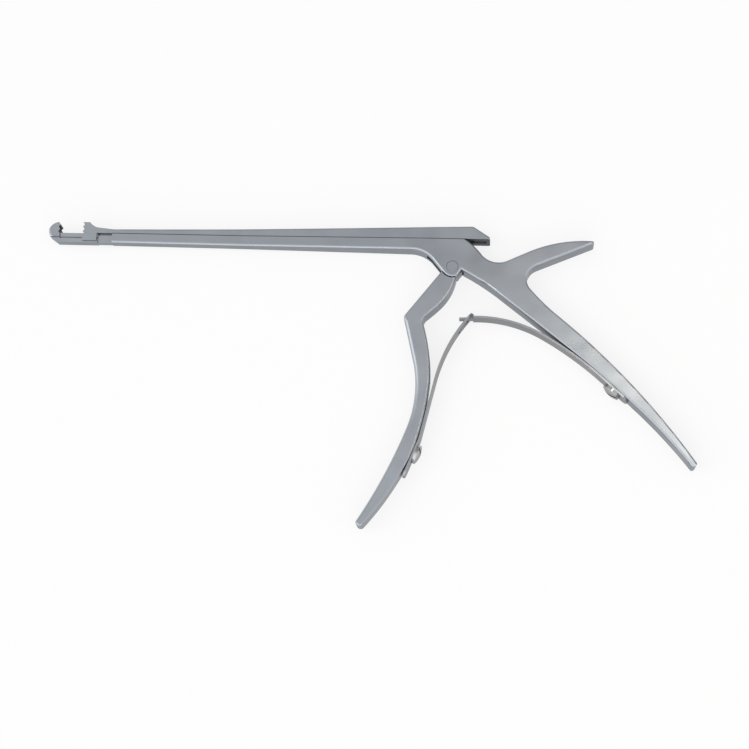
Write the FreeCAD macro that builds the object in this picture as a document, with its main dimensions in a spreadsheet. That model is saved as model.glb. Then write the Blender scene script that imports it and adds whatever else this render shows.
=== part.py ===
import FreeCAD, Part
import math
import os

import Sketcher

# Bone rongeur with a sliding upper shaft, lying flat on its side.
# Millimetres and degrees. The origin is on the axis of the pivot pin, at the lower side face.
# +X runs along the slide from the foot to the handles, +Y from the handles to the top of the shaft,
# and +Z across the instrument, from one side face to the other.
# The handles are open, as the springs hold them, and the jaws are apart.

SIZES = {
    # Widths across the instrument
    "body_width": 8.0,
    "tip_width": 5.0,
    "taper_front": 86.0,
    "taper_rear": 9.0,
    "edge_round": 0.8,
    # The plane that the slide runs on, and the running clearances
    "slide_plane": 11.7,
    "slide_play": 0.03,
    "guide_play": 0.05,
    # Shaft: distances ahead of the pivot axis, heights above it
    "nose_reach": 165.9,
    "foot_length": 4.7,
    "foot_top": 16.2,
    "nose_mid": 12.3,
    "nose_low": 9.9,
    "nose_low_back": 0.8,
    "nose_round": 1.1,
    "nose_round_low": 0.12,
    "chin_back": 4.0,
    "shaft_bottom": 7.75,
    "rail_length": 21.8,
    "shaft_heel": 24.0,
    "heel_bottom": 7.15,
    # Front rail between foot and shaft: flange, web and base of its T section
    "rail_flange": 3.6,
    "rail_web": 2.4,
    "rail_flange_low": 10.0,
    "rail_base_top": 9.4,
    "window_back": 15.8,
    "window_top": 11.0,
    # Rear guide: a T lug on the shaft inside the slide
    "lug_front": 50.0,
    "lug_length": 8.0,
    "lug_neck": 2.0,
    "lug_neck_height": 0.8,
    "lug_flange": 3.6,
    "lug_height": 1.7,
    # Bite: cups and teeth of the two jaws
    "cup_wall": 0.8,
    "cup_depth": 1.3,
    "cup_floor": 1.0,
    "cup_corner": 0.6,
    "tooth_pitch": 2.0,
    "tooth_depth": 0.7,
    "tooth_count": 3,
    # Body behind the shaft and round the pivot
    "belly_front": 17.0,
    "belly_height": 7.1,
    "belly_round": 0.98,
    "belly_x": 8.2,
    "belly_y": 3.2,
    "cheek_radius": 4.35,
    "cheek_front_angle": 220.5,
    "cheek_rear_angle": 302.0,
    "notch_x": 3.7,
    "notch_y": 1.3,
    "body_corner": 5.1,
    "back_x": 11.4,
    "back_y": 5.6,
    "back_round": 0.3,
    "saddle_x": 22.2,
    "saddle_y": 3.2,
    "saddle_round": 2.0,
    # Thumb spur
    "spur_top_x": 31.0,
    "spur_top_y": 7.4,
    "spur_end_x": 55.57,
    "spur_end_y": 12.03,
    "spur_round": 1.5,
    "spur_tip_x": 55.8,
    "spur_tip_y": 10.75,
    "spur_tip_round": 0.514,
    "crook_top_x": 33.48,
    "crook_top_y": 1.0,
    "crook_low_x": 31.3,
    "crook_low_y": 8.65,
    "crook_round": 2.5,
    # Rear handle: its back, its end and its grip side, as distances behind and below the pivot
    "back_start_x": 40.3,
    "back_start_y": 17.7,
    "back_start_round": 0.22,
    "rear_length": 123.42,
    "rear_angle": 321.28,
    "rear_back_round": 2.8,
    "rear_end_round": 1.0,
    "rear_toe_back": 0.74,
    "rear_toe_turn": 1.12,
    "rear_seat_reach": 80.7,
    "rear_seat_place": 323.41,
    "rear_seat_angle": 137.65,
    "rear_toe_bulge": 0.68,
    "seat_ahead": 5.5,
    "seat_behind": 8.0,
    "rear_grip_ahead": 19.79,
    "rear_grip_rise": 0.56,
    "rear_grip_bulge": 0.138,
    "rear_root_x": 20.8,
    "rear_root_y": 12.6,
    "rear_root_bulge": 0.5,
    # Slide: its outline ahead of the pivot, above the slide plane
    "jaw_gap": 9.5,
    "head_length": 5.9,
    "head_top": 16.3,
    "head_flat": 2.8,
    "head_low": 8.5,
    "head_slope_length": 3.3,
    "head_slope_y": 14.1,
    "head_slope_round": 0.35,
    "neck_length": 4.6,
    "neck_y": 13.6,
    "slide_sag": 0.25,
    "slide_rear": 7.9,
    "slide_top": 17.2,
    "slide_tail": 14.7,
    "slide_tail_height": 1.0,
    "slide_edge": 0.7,
    "slide_heel_round": 2.2,
    "slide_tail_round": 0.9,
    # Slots in the slide for the guide lug and for the fork
    "lug_slot_front": 8.3,
    "fork_slot_half": 3.45,
    "fork_slot_roof_half": 2.4,
    "fork_slot_top": 16.05,
    "fork_slot_shoulder": 14.9,
    "tail_slot_end": 13.3,
    "tail_slot_depth": 0.6,
    # Drive: pins, tang and fork
    "pivot_pin_radius": 2.35,
    "pivot_play": 0.03,
    "drive_height": 14.3,
    "drive_pin_radius": 1.0,
    "drive_pin_length": 7.0,
    "drive_pin_recess": 0.1,
    "pin_seat_play": 0.01,
    "pin_chamfer": 0.15,
    "tang_width": 3.0,
    "tang_side_play": 0.1,
    "tang_half": 2.2,
    "tang_top": 15.85,
    "hub_radius": 4.4,
    "fork_play": 0.12,
    "fork_bottom": 14.2,
    "hub_play": 0.5,
    "slot_belly": 10.4,
    "slot_wall_play": 0.4,
    "neck_depth": 9.0,
    # Front handle: its seat under the cheeks and its outline, ahead of and below the pivot
    "seat_radius": 4.7,
    "seat_front_angle": 205.0,
    "seat_rear_angle": 290.0,
    "knee_x": 17.9,
    "knee_y": 20.2,
    "knee_round": 0.35,
    "knee_low_x": 18.35,
    "knee_low_y": 22.6,
    "finger_x": 14.1,
    "finger_y": 39.8,
    "finger_mid_x": 15.8,
    "finger_mid_y": 66.7,
    "finger_round": 1.93,
    "front_length": 109.45,
    "front_angle": 252.01,
    "finger_low_round": 1.04,
    "front_end_round": 1.2,
    "front_toe_on": 0.73,
    "front_toe_turn": 1.59,
    "front_seat_reach": 77.09,
    "front_seat_place": 260.37,
    "front_seat_angle": 69.0,
    "front_toe_bulge": 1.3,
    "grip_mid_x": 7.3,
    "grip_mid_y": 47.0,
    "grip_mid_bulge": 0.95,
    "crotch_x": 10.7,
    "crotch_y": 24.0,
    "crotch_bulge": 0.9,
    "crotch_round": 0.45,
    "throat_x": 9.8,
    "throat_y": 21.0,
    "throat_bulge": 0.06,
    "neck_bend_x": 5.2,
    "neck_bend_y": 16.8,
    "neck_bend_bulge": 1.11,
    "finger_edge": 1.5,
    # Leaf springs, each in its own seat: along the handle from the screw, and away from the handle
    "leaf_width": 6.4,
    "leaf_thickness": 0.8,
    "leaf_seat_gap": 0.02,
    "leaf_corner": 2.6,
    "rear_tail": 7.3,
    "rear_flat": 5.0,
    "rear_bend_radius": 138.2,
    "rear_bend_turn": 12.13,
    "rear_run": 0.5,
    "leaf_meet_x": 8.52,
    "leaf_meet_y": 20.28,
    "tongue_root_play": 0.2,
    "tongue_length": 5.4,
    "tongue_width": 2.7,
    "front_tail": 10.5,
    "front_flat": 4.0,
    "front_bend_radius": 20.0,
    "front_bend_turn": 8.75,
    "front_run": 23.5,
    "leaf_tip_rise": 1.83,
    "slot_width": 3.2,
    "slot_length": 8.5,
    "slot_end": 1.6,
    # Screws that hold the leaves
    "screw_head_radius": 3.8,
    "screw_head_height": 1.8,
    "screw_head_crown": 0.35,
    "screw_slot": 1.0,
    "screw_slot_depth": 0.8,
    "screw_radius": 1.5,
    "screw_length": 4.8,
    "screw_play": 0.03,
    "screw_hole_depth": 4.5,
}

doc = FreeCAD.newDocument("bone_rongeur")
sheet = doc.addObject("Spreadsheet::Sheet", "Sizes")
for row, (alias, size) in enumerate(SIZES.items(), 1):
    sheet.set("A%d" % row, str(size))
    sheet.setAlias("A%d" % row, alias)
doc.recompute()

# Values that follow from the sizes and are used more than once
worked = doc.addObject("App::VarSet", "Worked")


def work_out(name, expression):
    """Keep the value of an expression under a name, and give the name as an expression."""
    worked.addProperty("App::PropertyFloat", name)
    worked.setExpression(name, expression)
    doc.recompute()
    return "Worked." + name


def cell(name):
    """An expression for one size of the sheet."""
    return "Sizes." + name


def number(expression):
    """The value of an expression, as a plain float."""
    value = sheet.evalExpression(expression)
    return float(getattr(value, "Value", value))


def ahead(name):
    """A distance ahead of the pivot, on the -X side."""
    return "-" + cell(name)


def around(radius, angle):
    """A point at a radius and an angle round the pivot."""
    return ("%s * cos(%s)" % (radius, angle), "%s * sin(%s)" % (radius, angle))


def tilted(angle, along, across):
    """A point in axes turned by an angle: along the turned Y axis, across it to the turned X axis."""
    point_x = "(%s) * cos(%s) - (%s) * sin(%s)" % (across, angle, along, angle)
    point_y = "(%s) * sin(%s) + (%s) * cos(%s)" % (across, angle, along, angle)
    return (point_x, point_y)


def new_body(label):
    body = doc.addObject("PartDesign::Body", label)
    body.Label = label
    return body


def new_sketch(body, name, plane="XY_Plane", offset=None):
    """A sketch on one of the body's own origin planes, moved along its normal."""
    sketch = body.newObject("Sketcher::SketchObject", name)
    support = [feature for feature in body.Origin.OriginFeatures if feature.Role == plane][0]
    sketch.AttachmentSupport = [(support, "")]
    sketch.MapMode = "FlatFace"
    if offset is not None:
        sketch.setExpression("AttachmentOffset.Base.z", offset)
    return sketch


def bind(sketch, index, expression):
    sketch.setExpression("Constraints[%d]" % index, expression)


def pin_point(sketch, geometry, place, point):
    """Tie one point of a sketch to the origin by two driven distances."""
    for kind, expression in zip(("DistanceX", "DistanceY"), point):
        index = sketch.addConstraint(Sketcher.Constraint(kind, -1, 1, geometry, place, number(expression)))
        bind(sketch, index, expression)


def arc_through(first, last, bulge):
    """The arc between two points whose middle stands out by bulge, to the right when it is positive."""
    chord = last - first
    side = FreeCAD.Vector(chord.y, -chord.x, 0).normalize()
    height = abs(bulge)
    radius = chord.Length ** 2 / (8 * height) + height / 2
    centre = (first + last) * 0.5 - side * (radius - height) * (1 if bulge > 0 else -1)
    start, end = (first, last) if bulge > 0 else (last, first)
    angles = [math.atan2(point.y - centre.y, point.x - centre.x) for point in (start, end)]
    if angles[1] < angles[0]:
        angles[1] += 2 * math.pi
    return Part.ArcOfCircle(Part.Circle(centre, FreeCAD.Vector(0, 0, 1), radius), angles[0], angles[1])


def outline(sketch, steps):
    """Draw a closed outline.

    A step is a corner (x, y) for a straight edge, or (x, y, bulge, sign) for an arc that ends at that
    corner, with its bulge to the right of the way drawn for sign 1 and to the left for sign -1.
    """
    corners = [FreeCAD.Vector(number(step[0]), number(step[1]), 0) for step in steps]
    first_edge = sketch.GeometryCount
    ends = []
    for i, step in enumerate(steps):
        start = corners[i - 1]
        end = corners[i]
        if len(step) == 2:
            sketch.addGeometry(Part.LineSegment(start, end), False)
            ends.append((1, 2))
            continue
        sketch.addGeometry(arc_through(start, end, number(step[2]) * step[3]), False)
        ends.append((1, 2) if step[3] > 0 else (2, 1))
    count = len(steps)
    for i in range(count):
        following = (i + 1) % count
        joint = Sketcher.Constraint("Coincident", first_edge + i, ends[i][1], first_edge + following, ends[following][0])
        sketch.addConstraint(joint)
        pin_point(sketch, first_edge + i, ends[i][1], steps[i][:2])
    for i, step in enumerate(steps):
        if len(step) == 2:
            continue
        before = steps[i - 1]
        chord_squared = "((%s) - (%s)) ^ 2 + ((%s) - (%s)) ^ 2" % (step[0], before[0], step[1], before[1])
        radius = "(%s) / (8 * %s) + %s / 2" % (chord_squared, step[2], step[2])
        constraint = Sketcher.Constraint("Radius", first_edge + i, sketch.Geometry[first_edge + i].Radius)
        bind(sketch, sketch.addConstraint(constraint), radius)


def circle(sketch, point, radius):
    centre = FreeCAD.Vector(number(point[0]), number(point[1]), 0)
    index = sketch.addGeometry(Part.Circle(centre, FreeCAD.Vector(0, 0, 1), number(radius)), False)
    pin_point(sketch, index, 3, point)
    bind(sketch, sketch.addConstraint(Sketcher.Constraint("Radius", index, number(radius))), radius)


def checked(feature):
    """Recompute and stop where a feature failed."""
    doc.recompute()
    if not feature.isValid() or not feature.Shape.isValid():
        raise RuntimeError("feature failed: " + feature.Name)
    return feature


def pad(body, sketch, length):
    """Add material evenly on both sides of the sketch."""
    feature = body.newObject("PartDesign::Pad", sketch.Name + "_pad")
    feature.Profile = sketch
    feature.SideType = "Symmetric"
    feature.setExpression("Length", length)
    return checked(feature)


def pocket(body, sketch, length=None, one_way=False, reverse=False):
    """Take material away: all through, or to a length, evenly on both sides unless one_way."""
    feature = body.newObject("PartDesign::Pocket", sketch.Name + "_cut")
    feature.Profile = sketch
    before = body.Shape.Volume
    if length is None:
        feature.SideType = "Symmetric"
        feature.Type = "ThroughAll"
    else:
        feature.SideType = "One side" if one_way else "Symmetric"
        feature.Reversed = reverse
        feature.setExpression("Length", length)
    checked(feature)
    if feature.Shape.Volume > before - 1e-6:
        raise RuntimeError("cut nothing: " + feature.Name)
    return feature


def turned(body, sketch, kind):
    """Revolve a sketch about its own line: kind is Revolution or Groove."""
    feature = body.newObject("PartDesign::" + kind, sketch.Name + "_turn")
    feature.Profile = sketch
    feature.ReferenceAxis = (sketch, ["Axis0"])
    feature.Angle = 360
    return checked(feature)


def round_edges(body, name, radius, chosen):
    """Fillet the edges of the body that the test picks."""
    base = body.Tip
    names = ["Edge%d" % (i + 1) for i, edge in enumerate(base.Shape.Edges) if chosen(edge)]
    if not names:
        raise RuntimeError("no edges for " + name)
    feature = body.newObject("PartDesign::Fillet", name)
    feature.Base = (base, names)
    feature.setExpression("Radius", radius)
    return checked(feature)


def middle_of(edge):
    return edge.valueAt((edge.FirstParameter + edge.LastParameter) / 2)


def on_a_side(edge):
    """True for an edge that runs along one of the two outer side faces, tapered or not."""
    heights = [vertex.Point.z for vertex in edge.Vertexes] + [middle_of(edge).z]
    clear_of_middle = min(abs(height) for height in heights) > number(cell("tip_width")) / 2 - 0.01
    return clear_of_middle and (max(heights) < 0 or min(heights) > 0)


def stand_on_side(body):
    """Each body is drawn about its middle plane and stands on its lower side face."""
    body.setExpression("Placement.Base.z", cell("body_width") + " / 2")


# Angles of the drive: half of the handle's stroke, either side of upright
half_stroke = "atan(%s / 2 / %s)" % (cell("jaw_gap"), cell("drive_height"))
lean = "-" + half_stroke

# Places along the shaft: the bite face of the foot, the shoulder and the window behind it
foot_face = work_out("foot_face", "%s - %s" % (cell("foot_length"), cell("nose_reach")))
shoulder = work_out("shoulder", "%s + %s" % (foot_face, cell("rail_length")))
window_front = work_out("window_front", "%s + %s" % (foot_face, cell("window_back")))

# Places along the slide while the jaws are open: its bite face, the rear of its head, its slope and neck
head_face = work_out("head_face", "%s + %s" % (foot_face, cell("jaw_gap")))
head_rear = work_out("head_rear", "%s + %s" % (head_face, cell("head_length")))
slope_rear = work_out("slope_rear", "%s + %s + %s" % (head_face, cell("head_flat"), cell("head_slope_length")))
neck_rear = work_out("neck_rear", "%s + %s" % (slope_rear, cell("neck_length")))

# Where the screws of the leaves enter the handles
rear_seat_x, rear_seat_y = around(cell("rear_seat_reach"), cell("rear_seat_place"))
front_seat_x, front_seat_y = around(cell("front_seat_reach"), cell("front_seat_place"))


def taper_sides(body, name):
    """Slim the shaft from the width of the body to the width of the tip, on both sides."""
    sketch = new_sketch(body, name, "XZ_Plane")
    far = "-%s - 10" % cell("nose_reach")
    wide = cell("body_width") + " / 2"
    slim = cell("tip_width") + " / 2"
    for sign in ("", "-"):
        outer = "%s(%s + 5)" % (sign, wide)
        outline(sketch, [
            (ahead("taper_rear"), sign + wide),
            (ahead("taper_rear"), outer),
            (far, outer),
            (far, sign + slim),
            (ahead("taper_front"), sign + slim),
        ])
    return pocket(body, sketch)


def teeth(body, name, face, first, direction):
    """V notches across a bite face, one above the other. direction is the side of the metal."""
    sketch = new_sketch(body, name)
    notch_half = cell("tooth_pitch") + " / 2"
    for i in range(int(number(cell("tooth_count")))):
        middle = "%s - %d * %s" % (first, i, cell("tooth_pitch"))
        outline(sketch, [
            ("%s - %s * 0.2" % (face, direction), "%s + %s * 1.2" % (middle, notch_half)),
            ("%s + %s * %s" % (face, direction, cell("tooth_depth")), middle),
            ("%s - %s * 0.2" % (face, direction), "%s - %s * 1.2" % (middle, notch_half)),
        ])
    return pocket(body, sketch)


def cup(body, name, face, low, high, direction):
    """A hollow in a bite face, with a wall left all round."""
    sketch = new_sketch(body, name)
    outline(sketch, [
        ("%s - %s * 0.3" % (face, direction), high),
        ("%s - %s * 0.3" % (face, direction), low),
        ("%s + %s * %s" % (face, direction, cell("cup_depth")), low + " + " + cell("cup_corner")),
        ("%s + %s * %s" % (face, direction, cell("cup_depth")), high + " - " + cell("cup_corner")),
    ])
    return pocket(body, sketch, "%s - 2 * %s" % (cell("tip_width"), cell("cup_wall")))


def screw_hole(body, name, seat_x, seat_y, angle, side):
    """A blind hole square to the grip side of a handle. side is 1 where the grip is to the left of the seat."""
    sketch = new_sketch(body, name)
    radius = "(%s + %s)" % (cell("screw_radius"), cell("screw_play"))

    def place(along, deep):
        point_x = "%s + (%s) * cos(%s) + %d * (%s) * sin(%s)" % (seat_x, along, angle, side, deep, angle)
        point_y = "%s + (%s) * sin(%s) - %d * (%s) * cos(%s)" % (seat_y, along, angle, side, deep, angle)
        return (point_x, point_y)

    outline(sketch, [
        place("0", "-1"),
        place(radius, "-1"),
        place(radius, cell("screw_hole_depth")),
        place("0", cell("screw_hole_depth")),
    ])
    axis = sketch.addGeometry(Part.LineSegment(
        FreeCAD.Vector(number(place("0", "-1")[0]), number(place("0", "-1")[1]), 0),
        FreeCAD.Vector(number(place("0", "1")[0]), number(place("0", "1")[1]), 0)), True)
    pin_point(sketch, axis, 1, place("0", "-1"))
    pin_point(sketch, axis, 2, place("0", "1"))
    return turned(body, sketch, "Groove")


def make_fixed_frame():
    """Foot, lower shaft, cheeks, rear handle and thumb spur, forged in one piece."""
    body = new_body("fixed_frame")
    plane = cell("slide_plane")
    rear_toe = around("(%s - %s)" % (cell("rear_length"), cell("rear_toe_back")),
                      "%s - %s" % (cell("rear_angle"), cell("rear_toe_turn")))
    sketch = new_sketch(body, "frame_outline")
    outline(sketch, [
        (foot_face, cell("foot_top")),
        (ahead("nose_reach"), cell("nose_mid"), cell("nose_round"), 1),
        ("%s + %s" % (ahead("nose_reach"), cell("nose_low_back")), cell("nose_low"), cell("nose_round_low"), 1),
        ("%s + %s" % (ahead("nose_reach"), cell("chin_back")), cell("shaft_bottom")),
        (shoulder, cell("shaft_bottom")),
        (ahead("shaft_heel"), cell("heel_bottom")),
        (ahead("belly_front"), cell("belly_height")),
        (ahead("belly_x"), cell("belly_y"), cell("belly_round"), -1),
        around(cell("cheek_radius"), cell("cheek_front_angle")),
        around(cell("cheek_radius"), cell("cheek_rear_angle")) + cheek_bulge(),
        (cell("notch_x"), "-" + cell("notch_y")),
        (cell("rear_root_x"), "-" + cell("rear_root_y"), cell("rear_root_bulge"), -1),
        rear_seat_point(cell("rear_grip_ahead"), cell("rear_grip_rise")),
        rear_seat_point(cell("seat_ahead")) + (cell("rear_grip_bulge"), -1),
        rear_seat_point("-" + cell("seat_behind")),
        rear_toe + (cell("rear_toe_bulge"), -1),
        around(cell("rear_length"), cell("rear_angle")) + (cell("rear_end_round"), 1),
        (cell("back_start_x"), "-" + cell("back_start_y"), cell("rear_back_round"), 1),
        (cell("crook_low_x"), "-" + cell("crook_low_y"), cell("back_start_round"), -1),
        (cell("crook_top_x"), cell("crook_top_y"), cell("crook_round"), -1),
        (cell("spur_tip_x"), cell("spur_tip_y")),
        (cell("spur_end_x"), cell("spur_end_y"), cell("spur_tip_round"), 1),
        (cell("spur_top_x"), cell("spur_top_y"), cell("spur_round"), 1),
        (cell("saddle_x"), cell("saddle_y")),
        (cell("back_x"), cell("back_y"), cell("saddle_round"), -1),
        (cell("body_corner"), plane, cell("back_round"), 1),
        (foot_face, plane),
    ])
    pad(body, sketch, cell("body_width"))

    taper_sides(body, "frame_taper")

    def outer_edge(edge):
        ends = [vertex.Point for vertex in edge.Vertexes]
        on_plane = min(end.y for end in ends) > number(plane) - 0.01 and middle_of(edge).x < number(cell("body_corner"))
        upright = abs(ends[0].x - ends[-1].x) < 1e-6
        butt = middle_of(edge).x > number(rear_toe[0])
        return on_a_side(edge) and not on_plane and not upright and not butt

    round_edges(body, "frame_edges", cell("edge_round"), outer_edge)
    cut_front_rail(body)
    add_guide_lug(body)
    cut_drive_slot(body)

    sketch = new_sketch(body, "frame_pivot_bore")
    circle(sketch, ("0", "0"), "%s + %s" % (cell("pivot_pin_radius"), cell("pin_seat_play")))
    pocket(body, sketch)

    screw_hole(body, "frame_screw_hole", rear_seat_x, rear_seat_y, cell("rear_seat_angle"), 1)
    cup_low = "%s + %s" % (plane, cell("cup_floor"))
    cup_high = "%s - %s" % (cell("foot_top"), cell("cup_wall"))
    cup(body, "foot_cup", foot_face, cup_low, cup_high, "-1")
    teeth(body, "foot_teeth", foot_face, cell("foot_top"), "-1")
    stand_on_side(body)
    return body


def rear_seat_point(along, rise="0"):
    """A point beside the flat seat of the rear leaf: towards the pivot from its screw, and out of the handle."""
    angle = cell("rear_seat_angle")
    point_x = "%s + %s * cos(%s) - %s * sin(%s)" % (rear_seat_x, along, angle, rise, angle)
    point_y = "%s + %s * sin(%s) + %s * cos(%s)" % (rear_seat_y, along, angle, rise, angle)
    return (point_x, point_y)


def cheek_bulge():
    """The middle of the cheek's arc stands this far out of its chord."""
    half_angle = "(%s - %s) / 2" % (cell("cheek_rear_angle"), cell("cheek_front_angle"))
    return ("%s * (1 - cos(%s))" % (cell("cheek_radius"), half_angle), 1)


def cut_front_rail(body):
    """Narrow the shaft ahead of its shoulder to a T rail that runs on under the foot.

    A plain stretch without a flange, in front of the shoulder, frees the slide.
    """
    below = cell("shaft_bottom") + " - 1"
    above = cell("slide_plane") + " + 1"
    sections = [
        (cell("rail_flange"), cell("rail_flange_low"), above, foot_face),
        (cell("rail_web"), cell("rail_base_top"), cell("rail_flange_low"), foot_face),
        (cell("rail_flange"), below, cell("rail_flange_low"), ahead("nose_reach") + " - 1"),
        (cell("rail_web"), below, above, window_front),
    ]
    for i, (width, low, high, front) in enumerate(sections):
        sketch = new_sketch(body, "rail_side_%d" % (i + 1), "YZ_Plane", front)
        for sign in ("", "-"):
            inner = "%s%s / 2" % (sign, width)
            outer = "%s(%s / 2 + 1)" % (sign, cell("tip_width"))
            outline(sketch, [(low, inner), (high, inner), (high, outer), (low, outer)])
        pocket(body, sketch, "%s - (%s)" % (shoulder, front), one_way=True, reverse=True)

    sketch = new_sketch(body, "rail_window_top")
    outline(sketch, [
        (window_front, cell("window_top")),
        (shoulder, cell("window_top")),
        (shoulder, above),
        (window_front, above),
    ])
    pocket(body, sketch)


def add_guide_lug(body):
    """A T lug that stands on the shaft and runs in a slot under the slide."""
    front = ahead("lug_front")
    for name, width, low, high in (
        ("lug_neck", cell("lug_neck"), "%s - 0.5" % cell("slide_plane"), "%s + %s" % (cell("slide_plane"), cell("lug_height"))),
        ("lug_flange", cell("lug_flange"), "%s + %s" % (cell("slide_plane"), cell("lug_neck_height")),
         "%s + %s" % (cell("slide_plane"), cell("lug_height"))),
    ):
        sketch = new_sketch(body, name)
        rear = "%s + %s" % (front, cell("lug_length"))
        outline(sketch, [(front, low), (rear, low), (rear, high), (front, high)])
        pad(body, sketch, width)


def cut_drive_slot(body):
    """The slot between the cheeks, open at the top and along the underside, for the tang and its fork."""
    sketch = new_sketch(body, "drive_slot")
    above = cell("slide_plane") + " + 2"
    clear = "(%s + %s)" % (cell("hub_radius"), cell("hub_play"))
    wall = "%s / cos(%s) + %s" % (cell("tang_half"), half_stroke, cell("slot_wall_play"))
    front = ahead("slot_belly")
    start = around(clear, "-60")
    end = around(clear, "35")
    arc_bulge = "%s * (1 - cos(47.5))" % clear
    outline(sketch, [
        (front, above),
        (front, "0"),
        ("-%s" % clear, "-%s - 2" % clear),
        (start[0], "-%s - 2" % clear),
        start,
        end + (arc_bulge, 1),
        ("(%s) * tan(%s) + %s" % (above, half_stroke, wall), above),
    ])
    return pocket(body, sketch, "%s + 2 * %s" % (cell("tang_width"), cell("tang_side_play")))


def make_upper_slide():
    """The sliding upper shaft with the moving jaw."""
    body = new_body("upper_slide")
    run = "(%s + %s)" % (cell("slide_plane"), cell("slide_play"))
    sketch = new_sketch(body, "slide_outline")
    outline(sketch, [
        (head_face, cell("head_low")),
        (head_rear, cell("head_low")),
        (head_rear, run),
        (cell("slide_tail"), run),
        (cell("slide_tail"), "%s + %s" % (run, cell("slide_tail_height"))),
        (cell("slide_rear"), cell("slide_top")),
        (neck_rear, cell("neck_y"), cell("slide_sag"), -1),
        (slope_rear, cell("head_slope_y")),
        ("%s + %s" % (head_face, cell("head_flat")), cell("head_top"), cell("head_slope_round"), -1),
        (head_face, cell("head_top")),
    ])
    pad(body, sketch, cell("body_width"))
    taper_sides(body, "slide_taper")
    for name, round_size, corner_x, corner_y in (
        ("slide_heel", cell("slide_heel_round"), cell("slide_rear"), cell("slide_top")),
        ("slide_tail_end", cell("slide_tail_round"), cell("slide_tail"), "%s + %s" % (run, cell("slide_tail_height"))),
    ):
        corner = FreeCAD.Vector(number(corner_x), number(corner_y), 0)
        round_edges(body, name, round_size, lambda edge: middle_of(edge).distanceToPoint(corner) < 0.01)
    cut_slide_slots(body, run)

    sketch = new_sketch(body, "drive_pin_bore", "XY_Plane", "-%s / 2" % cell("body_width"))
    circle(sketch, drive_pin_place(), "%s + %s" % (cell("drive_pin_radius"), cell("pin_seat_play")))
    reach = "%s + %s" % (cell("drive_pin_length"), cell("drive_pin_recess"))
    pocket(body, sketch, reach, one_way=True, reverse=True)

    cup_low = "%s + %s" % (run, cell("cup_floor"))
    cup_high = "%s - %s" % (cell("head_top"), cell("cup_wall"))
    cup(body, "head_cup", head_face, cup_low, cup_high, "1")
    teeth(body, "head_teeth", head_face, "%s - %s / 2" % (cell("head_top"), cell("tooth_pitch")), "1")

    def top_edge(edge):
        ends = [vertex.Point for vertex in edge.Vertexes]
        above = min(end.y for end in ends) > number(cell("neck_y")) - 0.1
        lengthwise = number(neck_rear) < middle_of(edge).x < number(cell("slide_rear")) and edge.Length > 20
        return on_a_side(edge) and above and lengthwise

    round_edges(body, "slide_top_edges", cell("slide_edge"), top_edge)
    stand_on_side(body)
    return body


def drive_pin_place():
    """The drive pin stands half a stroke behind the pivot while the jaws are open."""
    return (cell("jaw_gap") + " / 2", cell("drive_height"))


def cut_slide_slots(body, run):
    """The grip round the front rail, the slot for the guide lug and the slot for the fork."""
    play = cell("guide_play")
    sections = [
        ("(%s + 2 * %s)" % (cell("rail_flange"), play), cell("head_low") + " - 1", "%s + %s" % (cell("rail_base_top"), play)),
        ("(%s + 2 * %s)" % (cell("rail_web"), play), cell("rail_base_top"), cell("rail_flange_low")),
        ("(%s + 2 * %s)" % (cell("rail_flange"), play), "%s - %s" % (cell("rail_flange_low"), play), run),
    ]
    for i, (width, low, high) in enumerate(sections):
        sketch = new_sketch(body, "head_grip_%d" % (i + 1))
        front = head_face + " - 1"
        rear = head_rear + " + 0.5"
        outline(sketch, [(front, low), (rear, low), (rear, high), (front, high)])
        pocket(body, sketch, width)

    # The lug enters through the wide front end of its slot when the slide is drawn back
    entry_rear = "%s - %s" % (ahead("lug_front"), play)
    entry_front = "%s - %s" % (entry_rear, cell("lug_slot_front"))
    slot_rear = "%s + %s + %s + 2 * %s" % (ahead("lug_front"), cell("lug_length"), cell("jaw_gap"), play)
    lug_low = "%s + %s - %s" % (cell("slide_plane"), cell("lug_neck_height"), play)
    lug_high = "%s + %s + %s" % (cell("slide_plane"), cell("lug_height"), play)
    for name, front, rear, low, width in (
        ("lug_slot_entry", entry_front, entry_rear, cell("slide_plane"), cell("lug_flange")),
        ("lug_slot_neck", entry_rear, slot_rear, cell("slide_plane"), cell("lug_neck")),
        ("lug_slot_flange", entry_rear, slot_rear, lug_low, cell("lug_flange")),
    ):
        sketch = new_sketch(body, name)
        outline(sketch, [(front, low), (rear, low), (rear, lug_high), (front, lug_high)])
        pocket(body, sketch, "%s + 2 * %s" % (width, play))

    width = "%s + 2 * %s" % (cell("tang_width"), cell("tang_side_play"))
    sketch = new_sketch(body, "fork_slot")
    centre = drive_pin_place()[0]
    outline(sketch, [
        ("%s - %s" % (centre, cell("fork_slot_half")), run + " - 1"),
        ("%s + %s" % (centre, cell("fork_slot_half")), run + " - 1"),
        ("%s + %s" % (centre, cell("fork_slot_half")), cell("fork_slot_shoulder")),
        ("%s + %s" % (centre, cell("fork_slot_roof_half")), cell("fork_slot_top")),
        ("%s - %s" % (centre, cell("fork_slot_roof_half")), cell("fork_slot_top")),
        ("%s - %s" % (centre, cell("fork_slot_half")), cell("fork_slot_shoulder")),
    ])
    pocket(body, sketch, width)

    # The slot runs on towards the tail, shallow, with a round end
    sketch = new_sketch(body, "tail_slot", "XZ_Plane", "-(%s + %s)" % (run, cell("tail_slot_depth")))
    half = "(%s) / 2" % width
    turn = "%s - %s" % (cell("tail_slot_end"), half)
    outline(sketch, [
        (centre, "-" + half),
        (turn, "-" + half),
        (turn, half, half + " * 0.98", 1),
        (centre, half),
    ])
    pocket(body, sketch, cell("tail_slot_depth") + " + 1", one_way=True, reverse=True)


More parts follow.
